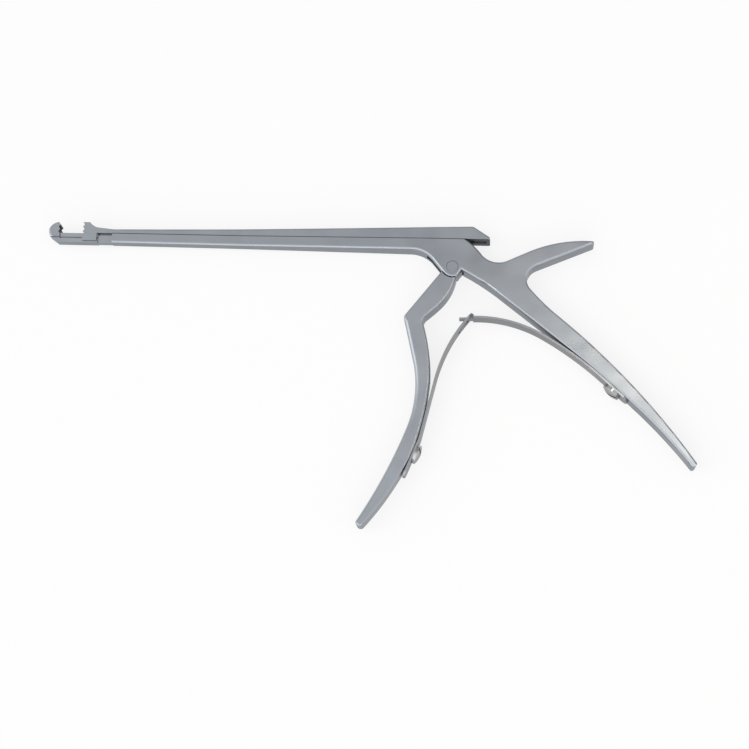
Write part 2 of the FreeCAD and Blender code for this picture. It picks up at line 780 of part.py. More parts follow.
def make_front_handle():
    """The trigger: a handle of full width with a flat tang that ends in a fork."""
    body = new_body("front_handle")
    seat_half = "(%s - %s) / 2" % (cell("seat_rear_angle"), cell("seat_front_angle"))
    seat_bulge = "%s * (1 - cos(%s))" % (cell("seat_radius"), seat_half)
    front_toe = around("(%s + %s)" % (cell("front_length"), cell("front_toe_on")),
                       "%s + %s" % (cell("front_angle"), cell("front_toe_turn")))
    sketch = new_sketch(body, "handle_outline")
    outline(sketch, [
        around(cell("seat_radius"), cell("seat_front_angle")) + (seat_bulge, -1),
        (ahead("knee_x"), "-" + cell("knee_y")),
        (ahead("knee_low_x"), "-" + cell("knee_low_y"), cell("knee_round"), 1),
        (ahead("finger_x"), "-" + cell("finger_y")),
        (ahead("finger_mid_x"), "-" + cell("finger_mid_y"), cell("finger_round"), -1),
        around(cell("front_length"), cell("front_angle")) + (cell("finger_low_round"), -1),
        front_toe + (cell("front_end_round"), 1),
        (front_seat_x, front_seat_y, cell("front_toe_bulge"), 1),
        (ahead("grip_mid_x"), "-" + cell("grip_mid_y"), cell("grip_mid_bulge"), 1),
        (ahead("crotch_x"), "-" + cell("crotch_y"), cell("crotch_bulge"), 1),
        (ahead("throat_x"), "-" + cell("throat_y"), cell("crotch_round"), -1),
        (ahead("neck_bend_x"), "-" + cell("neck_bend_y"), cell("throat_bulge"), 1),
        around(cell("seat_radius"), cell("seat_rear_angle")) + (cell("neck_bend_bulge"), 1),
    ])
    pad(body, sketch, cell("body_width"))

    def finger_edge(edge):
        middle = middle_of(edge)
        lowest = -number(cell("knee_low_y")) - 2
        left_of_grip = middle.x < -number(cell("finger_x")) + 1 - 0.5 * max(0, -middle.y - number(cell("finger_mid_y")))
        return on_a_side(edge) and middle.y < lowest and left_of_grip and edge.Length > 5

    round_edges(body, "handle_finger_edges", cell("finger_edge"), finger_edge)

    def plain_edge(edge):
        middle = middle_of(edge)
        from_pivot = math.hypot(middle.x, middle.y)
        on_hub_seat = abs(from_pivot - number(cell("seat_radius"))) < 0.1
        on_flat = on_a_side(edge) and abs(middle.z) > number(cell("body_width")) / 2 - 0.01
        on_finger_side = middle.x < -(number(cell("finger_x")) + number(cell("grip_mid_x"))) / 2
        finger_round = on_finger_side and middle.y < -number(cell("knee_low_y"))
        return on_flat and not on_hub_seat and not finger_round and middle.y > number(front_seat_y)

    round_edges(body, "handle_grip_edges", cell("edge_round"), plain_edge)
    add_tang(body)
    screw_hole(body, "handle_screw_hole", front_seat_x, front_seat_y, cell("front_seat_angle"), -1)
    stand_on_side(body)
    return body


def add_tang(body):
    """Hub, neck and bar of the tang, with its bore and the open fork at its top."""
    sketch = new_sketch(body, "tang_hub")
    circle(sketch, ("0", "0"), cell("hub_radius"))
    pad(body, sketch, cell("tang_width"))

    sketch = new_sketch(body, "tang_neck")
    outline(sketch, [
        around("1", cell("seat_front_angle") + " + 20"),
        around(cell("neck_depth"), cell("seat_front_angle") + " + 20"),
        around(cell("neck_depth"), cell("seat_rear_angle") + " - 20"),
        around("1", cell("seat_rear_angle") + " - 20"),
    ])
    pad(body, sketch, cell("tang_width"))

    sketch = new_sketch(body, "tang_bar")
    shoulder = "sqrt(%s ^ 2 - %s ^ 2)" % (cell("tang_top"), cell("tang_half"))
    crown = "%s - %s" % (cell("tang_top"), shoulder)
    outline(sketch, [
        tilted(lean, "0", "-" + cell("tang_half")),
        tilted(lean, "0", cell("tang_half")),
        tilted(lean, shoulder, cell("tang_half")),
        tilted(lean, shoulder, "-" + cell("tang_half")) + (crown, 1),
    ])
    pad(body, sketch, cell("tang_width"))

    sketch = new_sketch(body, "tang_fork")
    half_slot = "(%s + %s)" % (cell("drive_pin_radius"), cell("fork_play"))
    outline(sketch, [
        tilted(lean, cell("fork_bottom"), "-" + half_slot),
        tilted(lean, cell("fork_bottom"), half_slot) + (half_slot + " * 0.98", 1),
        tilted(lean, cell("tang_top") + " + 1", half_slot),
        tilted(lean, cell("tang_top") + " + 1", "-" + half_slot),
    ])
    pocket(body, sketch)

    sketch = new_sketch(body, "tang_bore")
    circle(sketch, ("0", "0"), "%s + %s" % (cell("pivot_pin_radius"), cell("pivot_play")))
    pocket(body, sketch)


class LeafPath:
    """The way a leaf runs from its screw, as expressions in the axes of its seat.

    It is flat at the screw, bends by one turn, runs straight and curls round to its aim, a point of the frame.
    bend_side is 1 where the first bend turns away from the handle and -1 where it turns towards it.
    """

    def __init__(self, prefix, bend_side, seat, aim):
        bend = cell(prefix + "_bend_radius")
        turn = cell(prefix + "_bend_turn")
        first = "%d * %s" % (bend_side, turn)
        run = cell(prefix + "_run")
        gap = cell("leaf_seat_gap")
        bend_end = ("%s + %s * sin(%s)" % (cell(prefix + "_flat"), bend, turn),
                    "%s + %d * %s * (1 - cos(%s))" % (gap, bend_side, bend, turn))
        run_end = ("%s + %s * cos(%s)" % (bend_end[0], run, first), "%s + %s * sin(%s)" % (bend_end[1], run, first))

        # The aim in the axes of the seat, then along and beside the heading where the curl begins
        seat_x, seat_y, angle, flipped = seat
        side = "-1" if flipped else "1"
        off_x = "(%s - (%s))" % (aim[0], seat_x)
        off_y = "(%s - (%s))" % (aim[1], seat_y)
        aim_x = work_out(prefix + "_aim_x", "%s * cos(%s) + %s * sin(%s)" % (off_x, angle, off_y, angle))
        aim_y = work_out(prefix + "_aim_y", "%s * (%s * cos(%s) - %s * sin(%s))" % (side, off_y, angle, off_x, angle))
        left_x = "(%s - (%s))" % (aim_x, run_end[0])
        left_y = "(%s - (%s))" % (aim_y, run_end[1])
        along = work_out(prefix + "_along", "%s * cos(%s) + %s * sin(%s)" % (left_x, first, left_y, first))
        beside = work_out(prefix + "_beside", "%s * cos(%s) - %s * sin(%s)" % (left_y, first, left_x, first))
        curl = work_out(prefix + "_curl_radius", "(%s ^ 2 + %s ^ 2) / (2 * %s)" % (along, beside, beside))
        curl_turn = work_out(prefix + "_curl_turn", "2 * atan(%s / %s) / 1deg" % (beside, along))

        self.side = bend_side
        self.radii = (bend, curl)
        self.turns = (turn, curl_turn)
        self.last_heading = "(%s + %s)" % (first, curl_turn)
        self.near = [((cell(prefix + "_flat"), gap), "0"), (bend_end, first), (run_end, first),
                     ((aim_x, aim_y), self.last_heading)]

    def beside(self, station, along, across):
        """A point beside a station: along the leaf's heading there, and across it away from the handle."""
        (point_x, point_y), heading = station
        return ("%s + (%s) * cos(%s) - (%s) * sin(%s)" % (point_x, along, heading, across, heading),
                "%s + (%s) * sin(%s) + (%s) * cos(%s)" % (point_y, along, heading, across, heading))

    def back_along_curl(self, distance):
        """The station on the curl at a distance back from its end."""
        curl = self.radii[1]
        (end_x, end_y), last = self.near[3]
        heading = "(%s - (%s) / %s * 180 / pi)" % (last, distance, curl)
        point_x = "%s - %s * (sin(%s) - sin(%s))" % (end_x, curl, last, heading)
        point_y = "%s - %s * (cos(%s) - cos(%s))" % (end_y, curl, heading, last)
        return ((point_x, point_y), heading)


def leaf_blank(label, prefix, path, tongue=None):
    """A bent strip of even thickness and width, with rounded corners at its tail."""
    body = new_body(label)
    bend_side = path.side
    gap = cell("leaf_seat_gap")
    thick = cell("leaf_thickness")
    tail = "-" + cell(prefix + "_tail")
    near = path.near
    end = near[3] if tongue is None else (path.beside(near[3], tongue, "0"), near[3][1])
    far = [path.beside(station, "0", thick) for station in near]
    far_end = path.beside(end, "0", thick)
    bend_near = "%s * (1 - cos(%s / 2))" % (path.radii[0], path.turns[0])
    bend_far = "(%s - %d * %s) * (1 - cos(%s / 2))" % (path.radii[0], bend_side, thick, path.turns[0])
    curl_near = "%s * (1 - cos(%s / 2))" % (path.radii[1], path.turns[1])
    curl_far = "(%s - %s) * (1 - cos(%s / 2))" % (path.radii[1], thick, path.turns[1])
    steps = [
        (tail, gap),
        near[0][0],
        near[1][0] + (bend_near, bend_side),
        near[2][0],
        near[3][0] + (curl_near, 1),
    ]
    if tongue is not None:
        steps += [end[0], far_end]
    steps += [
        far[3],
        far[2] + (curl_far, -1),
        far[1],
        far[0] + (bend_far, -bend_side),
        (tail, "%s + %s" % (gap, thick)),
    ]
    sketch = new_sketch(body, prefix + "_leaf_profile")
    outline(sketch, steps)
    pad(body, sketch, cell("leaf_width"))

    tail_reach = number(cell(prefix + "_tail"))

    def tail_corner(edge):
        return abs(middle_of(edge).x + tail_reach) < 0.01 and abs(edge.Length - number(thick)) < 0.01

    round_edges(body, prefix + "_leaf_tail", cell("leaf_corner"), tail_corner)

    sketch = new_sketch(body, prefix + "_leaf_hole", "XZ_Plane")
    circle(sketch, ("0", "0"), "%s + %s" % (cell("screw_radius"), cell("screw_play")))
    pocket(body, sketch)
    return body


def seat_on(body, seat_x, seat_y, angle, flipped):
    """Put a leaf or screw on its seat, with its +Y away from the handle."""
    roll = 180 if flipped else 0
    placement = "placement(vector(%s; %s; %s / 2); rotation(%s; 0; %d))"
    body.setExpression("Placement", placement % (seat_x, seat_y, cell("body_width"), angle, roll))


REAR_SEAT = (rear_seat_x, rear_seat_y, cell("rear_seat_angle"), False)
FRONT_SEAT = (front_seat_x, front_seat_y, cell("front_seat_angle"), True)

# The shoulders of the tongue stand beside the other leaf, whose tip reaches past them
tongue_root = ("(%s + %s)" % (cell("leaf_meet_x"), cell("tongue_root_play")), "-" + cell("leaf_meet_y"))
slotted_tip = (cell("leaf_meet_x"), "(%s - %s)" % (cell("leaf_tip_rise"), cell("leaf_meet_y")))
REAR_PATH = LeafPath("rear", 1, REAR_SEAT, tongue_root)
FRONT_PATH = LeafPath("front", -1, FRONT_SEAT, slotted_tip)


def make_rear_leaf():
    """The leaf with a narrow tongue at its tip."""
    path = REAR_PATH
    body = leaf_blank("rear_leaf_spring", "rear", path, cell("tongue_length"))
    root = path.near[3]
    for sign, reverse in (("", True), ("-", False)):
        sketch = new_sketch(body, "tongue_side_" + ("upper" if reverse else "lower"), "XY_Plane",
                            "%s%s / 2" % (sign, cell("tongue_width")))
        outline(sketch, [
            path.beside(root, "0", "-1"),
            path.beside(root, cell("tongue_length") + " + 1", "-1"),
            path.beside(root, cell("tongue_length") + " + 1", cell("leaf_thickness") + " + 1"),
            path.beside(root, "0", cell("leaf_thickness") + " + 1"),
        ])
        pocket(body, sketch, cell("leaf_width"), one_way=True, reverse=reverse)
    seat_on(body, *REAR_SEAT)
    return body


def make_front_leaf():
    """The leaf with a long slot near its rounded tip."""
    path = FRONT_PATH
    body = leaf_blank("front_leaf_spring", "front", path)
    tip = path.near[3]
    tip_point = FreeCAD.Vector(number(tip[0][0]), number(tip[0][1]), 0)

    def tip_corner(edge):
        middle = middle_of(edge)
        flat_distance = math.hypot(middle.x - tip_point.x, middle.y - tip_point.y)
        return flat_distance < 1 and abs(edge.Length - number(cell("leaf_thickness"))) < 0.01

    round_edges(body, "front_leaf_tip", cell("leaf_corner"), tip_corner)
    ends = [path.back_along_curl(back) for back in (cell("slot_end"), "%s + %s" % (cell("slot_end"), cell("slot_length")))]
    sketch = new_sketch(body, "front_leaf_slot")
    outline(sketch, [
        path.beside(ends[0], "0", "-1"),
        path.beside(ends[0], "0", cell("leaf_thickness") + " + 1"),
        path.beside(ends[1], "0", cell("leaf_thickness") + " + 1"),
        path.beside(ends[1], "0", "-1"),
    ])
    pocket(body, sketch, cell("slot_width"))
    seat_on(body, *FRONT_SEAT)
    return body


def make_screw(label, seat):
    """A slotted cheese-head screw with a slightly domed head."""
    body = new_body(label)
    sketch = new_sketch(body, label + "_profile")
    under = "(2 * %s + %s)" % (cell("leaf_seat_gap"), cell("leaf_thickness"))
    rim = "%s + %s - %s" % (under, cell("screw_head_height"), cell("screw_head_crown"))
    top = "%s + %s" % (under, cell("screw_head_height"))
    head = cell("screw_head_radius")
    dome = "((%s ^ 2 + %s ^ 2) / (2 * %s))" % (head, cell("screw_head_crown"), cell("screw_head_crown"))
    half_span = "(asin(%s / %s) / 2)" % (head, dome)
    outline(sketch, [
        ("0", "%s - %s" % (under, cell("screw_length"))),
        (cell("screw_radius"), "%s - %s" % (under, cell("screw_length"))),
        (cell("screw_radius"), under),
        (head, under),
        (head, rim),
        ("0", top, "%s * (1 - cos(%s))" % (dome, half_span), 1),
    ])
    axis = sketch.addGeometry(Part.LineSegment(FreeCAD.Vector(0, 0, 0), FreeCAD.Vector(0, number(top), 0)), True)
    pin_point(sketch, axis, 1, ("0", "0"))
    pin_point(sketch, axis, 2, ("0", top))
    turned(body, sketch, "Revolution")

    sketch = new_sketch(body, label + "_slot")
    half_slot = cell("screw_slot") + " / 2"
    low = "%s - %s" % (top, cell("screw_slot_depth"))
    outline(sketch, [
        ("-" + half_slot, low),
        (half_slot, low),
        (half_slot, top + " + 1"),
        ("-" + half_slot, top + " + 1"),
    ])
    pocket(body, sketch, "2 * %s + 2" % head)
    seat_on(body, *seat)
    return body


def make_pin(label, radius, length, point):
    """A pin across the instrument, with both ends chamfered. Its foot stands at the point."""
    body = new_body(label)
    sketch = new_sketch(body, label + "_profile", "XZ_Plane")
    shoulder = "%s - %s" % (radius, cell("pin_chamfer"))
    outline(sketch, [
        ("0", "0"),
        (shoulder, "0"),
        (radius, cell("pin_chamfer")),
        (radius, "%s - %s" % (length, cell("pin_chamfer"))),
        (shoulder, length),
        ("0", length),
    ])
    axis = sketch.addGeometry(Part.LineSegment(FreeCAD.Vector(0, 0, 0), FreeCAD.Vector(0, number(length), 0)), True)
    pin_point(sketch, axis, 1, ("0", "0"))
    pin_point(sketch, axis, 2, ("0", length))
    turned(body, sketch, "Revolution")
    for letter, expression in zip("xyz", point):
        body.setExpression("Placement.Base." + letter, expression)
    return body


def make_pivot_pin():
    """Flush with both side faces."""
    return make_pin("pivot_pin", cell("pivot_pin_radius"), cell("body_width"), ("0", "0", "0"))


def make_drive_pin():
    """Pressed in from the lower side face, so that it doesn't show on the upper one."""
    recess = cell("drive_pin_recess")
    return make_pin("drive_pin", cell("drive_pin_radius"), cell("drive_pin_length"), drive_pin_place() + (recess,))


sub_parts = [
    make_fixed_frame(),
    make_upper_slide(),
    make_front_handle(),
    make_pivot_pin(),
    make_drive_pin(),
    make_front_leaf(),
    make_rear_leaf(),
    make_screw("front_spring_screw", FRONT_SEAT),
    make_screw("rear_spring_screw", REAR_SEAT),
]
doc.recompute()

for item in doc.Objects:
    if "Invalid" in item.State or "Error" in item.State:
        raise RuntimeError("object in error: " + item.Name)
for item in sub_parts:
    if item.Shape.isNull() or not item.Shape.isValid():
        raise RuntimeError("bad shape: " + item.Label)
    if len(item.Shape.Solids) != 1:
        raise RuntimeError("not one solid: " + item.Label)

os.makedirs("parts", exist_ok=True)
for item in sub_parts:
    item.Shape.exportStep("parts/" + item.Label + ".step")
    print(item.Label, round(item.Shape.Volume, 1), item.Shape.BoundBox)
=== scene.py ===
"""Looks of a bone rongeur with a sliding upper shaft, lying flat on its side.

Lengths are in metres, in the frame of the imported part: the origin is on the axis of the pivot pin at the
lower side face, +X runs from the foot to the handles and +Z is across the instrument.
"""

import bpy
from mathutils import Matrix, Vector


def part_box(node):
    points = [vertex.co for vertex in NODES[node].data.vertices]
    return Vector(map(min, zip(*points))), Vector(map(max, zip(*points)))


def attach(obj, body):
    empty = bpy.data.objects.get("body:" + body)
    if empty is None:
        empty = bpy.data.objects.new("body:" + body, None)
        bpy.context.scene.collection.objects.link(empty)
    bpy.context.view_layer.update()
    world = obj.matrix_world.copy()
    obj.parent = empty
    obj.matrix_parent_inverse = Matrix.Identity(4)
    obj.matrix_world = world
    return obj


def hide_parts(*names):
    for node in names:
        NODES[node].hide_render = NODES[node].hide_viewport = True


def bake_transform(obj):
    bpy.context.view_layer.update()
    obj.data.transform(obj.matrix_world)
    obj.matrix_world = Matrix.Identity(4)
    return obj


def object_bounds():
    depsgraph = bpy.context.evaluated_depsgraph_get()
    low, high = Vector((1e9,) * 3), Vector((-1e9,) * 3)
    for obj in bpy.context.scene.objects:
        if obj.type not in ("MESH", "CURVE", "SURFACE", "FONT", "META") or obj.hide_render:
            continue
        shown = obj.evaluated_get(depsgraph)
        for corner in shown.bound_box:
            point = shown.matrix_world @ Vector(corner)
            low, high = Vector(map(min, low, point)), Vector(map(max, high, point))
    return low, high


bl_info = {
    "name": "Bone rongeur",
    "version": (1, 0, 0),
    "blender": (4, 5, 0),
    "location": "View3D > Sidebar > Rongeur",
    "description": "Satin steel, bent leaf springs and slotted screws of a slide-action bone punch",
    "category": "Object",
}

import bpy
import math
from mathutils import Euler, Matrix, Vector

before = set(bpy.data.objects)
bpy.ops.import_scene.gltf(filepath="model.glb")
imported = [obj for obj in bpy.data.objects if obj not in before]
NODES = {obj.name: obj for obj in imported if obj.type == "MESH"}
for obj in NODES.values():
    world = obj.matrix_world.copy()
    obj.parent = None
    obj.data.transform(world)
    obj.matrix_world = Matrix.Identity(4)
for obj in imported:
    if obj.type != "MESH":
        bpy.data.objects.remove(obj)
CAD_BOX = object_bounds()

FRAME_LOW, FRAME_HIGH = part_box("fixed_frame")
LEAF_LOW, LEAF_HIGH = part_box("rear_leaf_spring")
MIDDLE = (FRAME_LOW.z + FRAME_HIGH.z) / 2
LEAF_WIDTH = LEAF_HIGH.z - LEAF_LOW.z

# The joint under the slide, and the jaws, where shade is painted on the steel
SEAM_HEIGHT = 0.0117
SEAM_START = -0.1394
SEAM_STOP = 0.0055
JAW_LENGTH = 0.004
BITE_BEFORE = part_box("upper_slide")[0].x + JAW_LENGTH

# Film between the part and the floor
FLOOR_GAP = 0.0002

# The camera of the photograph
CAMERA_LENS = 81.7
CAMERA_PLACE = Vector((0.0232, -0.2225, 0.6514))
CAMERA_TARGET = Vector((-0.0291, -0.0457, 0.008))
CAMERA_ROLL = math.radians(1.54)


def length(name, description, default):
    return bpy.props.FloatProperty(name=name, description=description, default=default, unit="LENGTH",
                                   precision=5)


def angle(name, description, degrees):
    return bpy.props.FloatProperty(name=name, description=description, default=math.radians(degrees),
                                   subtype="ANGLE")


def amount(name, description, default):
    return bpy.props.FloatProperty(name=name, description=description, default=default, min=0, max=1,
                                   subtype="FACTOR")


def strength(name, description, default):
    return bpy.props.FloatProperty(name=name, description=description, default=default, min=0)


def colour(name, description, default):
    return bpy.props.FloatVectorProperty(name=name, description=description, default=default, size=3,
                                         min=0, max=1, subtype="COLOR")


class RONGEUR_PG_steel(bpy.types.PropertyGroup):
    body: colour("Body steel", "Satin steel of the frame, the slide and the trigger", (0.412, 0.442, 0.486))
    spring: colour("Spring steel", "Steel of the two leaves", (0.38, 0.394, 0.416))
    screw: colour("Screw steel", "Steel of the polished screw heads", (0.5, 0.51, 0.525))
    roughness: amount("Roughness", "Roughness of the satin finish", 0.3)
    spring_roughness: amount("Spring roughness", "Roughness of the two leaves", 0.3)
    screw_roughness: amount("Screw roughness", "Roughness of the screw heads", 0.18)
    grain: amount("Grain", "Depth of the brushed lines", 0.07)
    waves: amount("Waves", "Depth of the shallow waves left by hand polishing", 0.3)
    # Painted shade on the walls, and a painted highlight on the rounded edges
    wall_shade: amount("Wall shade", "How much darker the walls are than the ground flats", 0.5)
    painted_edge_highlight: amount("Painted edge highlight", "How much lighter the rounded edges rub", 0.06)


class RONGEUR_PG_leaves(bpy.types.PropertyGroup):
    thickness: length("Thickness", "Thickness of both leaves", 0.0008)
    seat_gap: length("Seat gap", "Film between a leaf and its handle at the screw", 0.00002)
    corner: length("Corner", "Radius of the rounded ends", 0.0026)
    step: length("Step", "Length of one facet along a leaf", 0.00025)
    rear_tail: length("Rear tail", "Length of the rear leaf behind its screw", 0.0073)
    rear_flat: length("Rear flat", "Flat length of the rear leaf ahead of its screw", 0.005)
    rear_bend: length("Rear bend", "Radius of the first bend of the rear leaf", 0.1382)
    rear_bend_turn: angle("Rear bend turn", "Turn of that bend, away from the handle", 12.13)
    rear_run: length("Rear run", "Straight length between the bends", 0.0005)
    tongue_length: length("Tongue length", "Length of the narrow tongue", 0.0054)
    tongue_width: length("Tongue width", "Width of the narrow tongue", 0.0027)
    front_tail: length("Front tail", "Length of the front leaf behind its screw", 0.0105)
    front_flat: length("Front flat", "Flat length of the front leaf ahead of its screw", 0.004)
    front_bend: length("Front bend", "Radius of the first bend of the front leaf", 0.02)
    front_bend_turn: angle("Front bend turn", "Turn of that bend, towards the handle", 8.75)
    front_run: length("Front run", "Straight length between the bends", 0.0235)
    meeting: bpy.props.FloatVectorProperty(name="Meeting", description="Where the two leaves meet",
                                           default=(0.00852, -0.02028), size=2, unit="LENGTH", precision=5)
    tongue_play: length("Tongue play", "How far the shoulders of the tongue stand off the other leaf", 0.0002)
    tip_rise: length("Tip rise", "How far the tip of the front leaf stands above the meeting", 0.00183)
    slot_width: length("Slot width", "Width of the slot that holds the tongue", 0.0032)
    slot_length: length("Slot length", "Length of that slot", 0.0085)
    slot_end: length("Slot end", "Metal left between the slot and the tip", 0.0016)
    held: amount("Held share", "Share of a leaf, from its screw, that stays with the handle", 0.42)


class RONGEUR_PG_screws(bpy.types.PropertyGroup):
    radius: length("Head radius", "Radius of a screw head", 0.0038)
    height: length("Head height", "Height of a screw head", 0.0022)
    crown: length("Crown", "Height of the dome on a head", 0.0009)
    slot_width: length("Slot width", "Width of the driver slot", 0.001)
    slot_depth: length("Slot depth", "Depth of the driver slot", 0.0012)
    rim: length("Rim", "Rounding of the rim of a head", 0.00022)
    rear_reach: length("Rear reach", "From the pivot to the rear screw", 0.0807)
    rear_place: angle("Rear place", "Direction of the rear screw from the pivot", 323.41)
    rear_angle: angle("Rear angle", "Way of the rear leaf at its screw", 137.65)
    front_reach: length("Front reach", "From the pivot to the front screw", 0.07709)
    front_place: angle("Front place", "Direction of the front screw from the pivot", 260.37)
    front_angle: angle("Front angle", "Way of the front leaf at its screw", 69.0)
    rear_slot_turn: angle("Rear slot turn", "Turn of the driver slot of the rear screw", 25.0)
    front_slot_turn: angle("Front slot turn", "Turn of the driver slot of the front screw", 60.0)


class RONGEUR_PG_studio(bpy.types.PropertyGroup):
    floor: colour("Floor", "Colour of the floor", (0.97, 0.97, 0.97))
    floor_glow: amount("Floor glow", "Share of the floor that is plain white to the camera", 0.8)
    side: strength("Side lamp", "Power of the soft box on the foot's side", 1.3)
    front: strength("Front lamp", "Power of the soft box on the handles' side", 1.2)
    spot: strength("Handle lamp", "Power of the small lamp over the rear handle", 0.13)
    spot_tint: colour("Handle lamp colour", "Colour of that lamp", (1.0, 0.93, 0.8))
    sky: strength("Sky", "Light from the side of the handles", 0.95)
    sky_behind: strength("Sky behind", "Light from beyond the shaft", 0.45)
    sky_foot: strength("Sky at the foot", "Share of that light on the foot's side", 1.3)
    sky_body: strength("Sky over the body", "Share of that light over the body", 0.85)


def settings():
    return bpy.context.scene.rongeur_steel, bpy.context.scene.rongeur_leaves, bpy.context.scene.rongeur_screws


class Tree:
    """Short hand for building a node tree from left to right."""

    def __init__(self, tree):
        self.tree = tree
        self.column = 0

    def add(self, kind, values=(), **attributes):
        node = self.tree.nodes.new(kind)
        node.location = (self.column, 0)
        self.column += 180
        for name, value in attributes.items():
            setattr(node, name, value)
        for socket, value in dict(values).items():
            self.feed(node.inputs[socket], value)
        return node

    def feed(self, socket, value):
        if isinstance(value, bpy.types.NodeSocket):
            self.tree.links.new(value, socket)
        else:
            socket.default_value = value

    def group(self, name, values=()):
        return self.add("ShaderNodeGroup", values, node_tree=bpy.data.node_groups[name])

    def mix(self, share, first, second):
        """A colour between two others."""
        node = self.add("ShaderNodeMix", data_type="RGBA")
        for name, value in (("Factor", share), ("A", first), ("B", second)):
            self.feed(next(socket for socket in node.inputs if socket.name == name and socket.enabled), value)
        return next(socket for socket in node.outputs if socket.enabled)

    def math(self, operation, *terms):
        node = self.add("ShaderNodeMath", operation=operation)
        for socket, term in zip(node.inputs, terms):
            self.feed(socket, term)
        return node.outputs[0]

    def pick(self, choice, chosen, other):
        """The chosen value where the choice is 1, and the other where it is 0."""
        rest = self.math("SUBTRACT", 1.0, choice)
        return self.math("ADD", self.math("MULTIPLY", choice, chosen), self.math("MULTIPLY", rest, other))

    def ramp(self, value, low, high, first=0.0, last=1.0, smooth=False):
        """A value carried over from the span between low and high to the one between first and last."""
        spans = {"Value": value, "From Min": low, "From Max": high, "To Min": first, "To Max": last}
        kind = "SMOOTHSTEP" if smooth else "LINEAR"
        return self.add("ShaderNodeMapRange", spans, interpolation_type=kind).outputs[0]

    def noise(self, place, scale, detail, roughness=0.5):
        values = {"Vector": place, "Scale": scale, "Detail": detail, "Roughness": roughness}
        return self.add("ShaderNodeTexNoise", values).outputs

    def combine(self, **parts):
        return self.add("ShaderNodeCombineXYZ", parts).outputs[0]

    def separate(self, vector):
        return self.add("ShaderNodeSeparateXYZ", {0: vector}).outputs


def emptied(owner):
    """The node tree of a material or world, with nothing in it."""
    owner.use_nodes = True
    owner.node_tree.nodes.clear()
    return Tree(owner.node_tree)


def new_group(name, kind, inputs, outputs):
    """A node group with named sockets, and its own input and output nodes."""
    group = bpy.data.node_groups.new(name, kind)
    for socket_name, socket_kind, default in inputs:
        socket = group.interface.new_socket(socket_name, in_out="INPUT", socket_type=socket_kind)
        if default is not None:
            socket.default_value = default
    for socket_name, socket_kind in outputs:
        group.interface.new_socket(socket_name, in_out="OUTPUT", socket_type=socket_kind)
    tree = Tree(group)
    return group, tree, tree.add("NodeGroupInput"), tree.add("NodeGroupOutput")


def brushed_lines():
    """Fine lines left by a belt, longer than they are wide, with broad cloudy patches of polish."""
    group, tree, given, result = new_group("Brushed lines", "ShaderNodeTree", [
        ("Turn", "NodeSocketFloat", 0.0),
        ("Spacing", "NodeSocketFloat", 0.00045),
        ("Stretch", "NodeSocketFloat", 30.0),
        ("Cloud", "NodeSocketFloat", 0.014),
    ], [("Lines", "NodeSocketFloat"), ("Clouds", "NodeSocketFloat")])
    ask = given.outputs
    place = tree.add("ShaderNodeTexCoord").outputs["Object"]
    turn = tree.combine(Z=ask["Turn"])
    turned = tree.add("ShaderNodeMapping", {"Vector": place, "Rotation": turn}).outputs[0]
    along = tree.math("DIVIDE", 1.0, tree.math("MULTIPLY", ask["Spacing"], ask["Stretch"]))
    across = tree.math("DIVIDE", 1.0, ask["Spacing"])
    scale = tree.combine(X=along, Y=across, Z=across)
    drawn = tree.add("ShaderNodeVectorMath", {0: turned, 1: scale}, operation="MULTIPLY").outputs[0]
    broad = tree.math("DIVIDE", 1.0, ask["Cloud"])
    tree.feed(result.inputs["Lines"], tree.noise(drawn, 1.0, detail=3.0, roughness=0.6)["Fac"])
    tree.feed(result.inputs["Clouds"], tree.noise(turned, broad, detail=1.0, roughness=0.4)["Fac"])
    return group


def handling_marks():
    """Sparse fine scratches and small dull spots, as on a tool that is washed and laid in trays."""
    group, tree, given, result = new_group("Handling marks", "ShaderNodeTree", [
        ("Amount", "NodeSocketFloat", 0.5),
        ("Size", "NodeSocketFloat", 0.004),
        ("Spots from", "NodeSocketFloat", 0.62),
        ("Spots full", "NodeSocketFloat", 0.8),
        ("Bend scale", "NodeSocketFloat", 0.4),
        ("Scratch scale", "NodeSocketFloat", 9.0),
        ("Scratch width", "NodeSocketFloat", 0.006),
        ("Scratch share", "NodeSocketFloat", 0.15),
    ], [("Marks", "NodeSocketFloat")])
    ask = given.outputs
    place = tree.add("ShaderNodeTexCoord").outputs["Object"]
    scale = tree.math("DIVIDE", 1.0, ask["Size"])
    spots = tree.noise(place, scale, detail=6.0, roughness=0.7)["Fac"]
    bent = tree.noise(place, tree.math("MULTIPLY", scale, ask["Bend scale"]), detail=2.0)["Color"]
    cells = tree.add("ShaderNodeTexVoronoi", {"Vector": bent, "Scale": ask["Scratch scale"]},
                     feature="DISTANCE_TO_EDGE").outputs["Distance"]
    scratches = tree.math("LESS_THAN", cells, ask["Scratch width"])
    dull = tree.ramp(spots, ask["Spots from"], ask["Spots full"])
    both = tree.math("MAXIMUM", dull, tree.math("MULTIPLY", scratches, ask["Scratch share"]))
    tree.feed(result.inputs["Marks"], tree.math("MULTIPLY", both, ask["Amount"]))
    return group


def painted_wall_shade_and_edge_highlight():
    """Masks of a ground piece: walls, which get painted shade, and rounded edges, which get a painted
    highlight.
    """
    group, tree, given, result = new_group("Painted wall shade and edge highlight", "ShaderNodeTree", [
        ("Wall below", "NodeSocketFloat", 0.2),
        ("No wall above", "NodeSocketFloat", 0.5),
        ("Edge below", "NodeSocketFloat", 0.9),
        ("Flat above", "NodeSocketFloat", 0.99),
    ], [("Walls", "NodeSocketFloat"), ("Edges", "NodeSocketFloat")])
    ask = given.outputs
    facing = tree.add("ShaderNodeTexCoord").outputs["Normal"]
    upright = tree.math("ABSOLUTE", tree.separate(facing)["Z"])
    walls = tree.ramp(upright, ask["Wall below"], ask["No wall above"], 1.0, 0.0)
    off_flat = tree.ramp(upright, ask["Edge below"], ask["Flat above"], 1.0, 0.0)
    tree.feed(result.inputs["Walls"], walls)
    tree.feed(result.inputs["Edges"], tree.math("SUBTRACT", off_flat, walls))
    return group


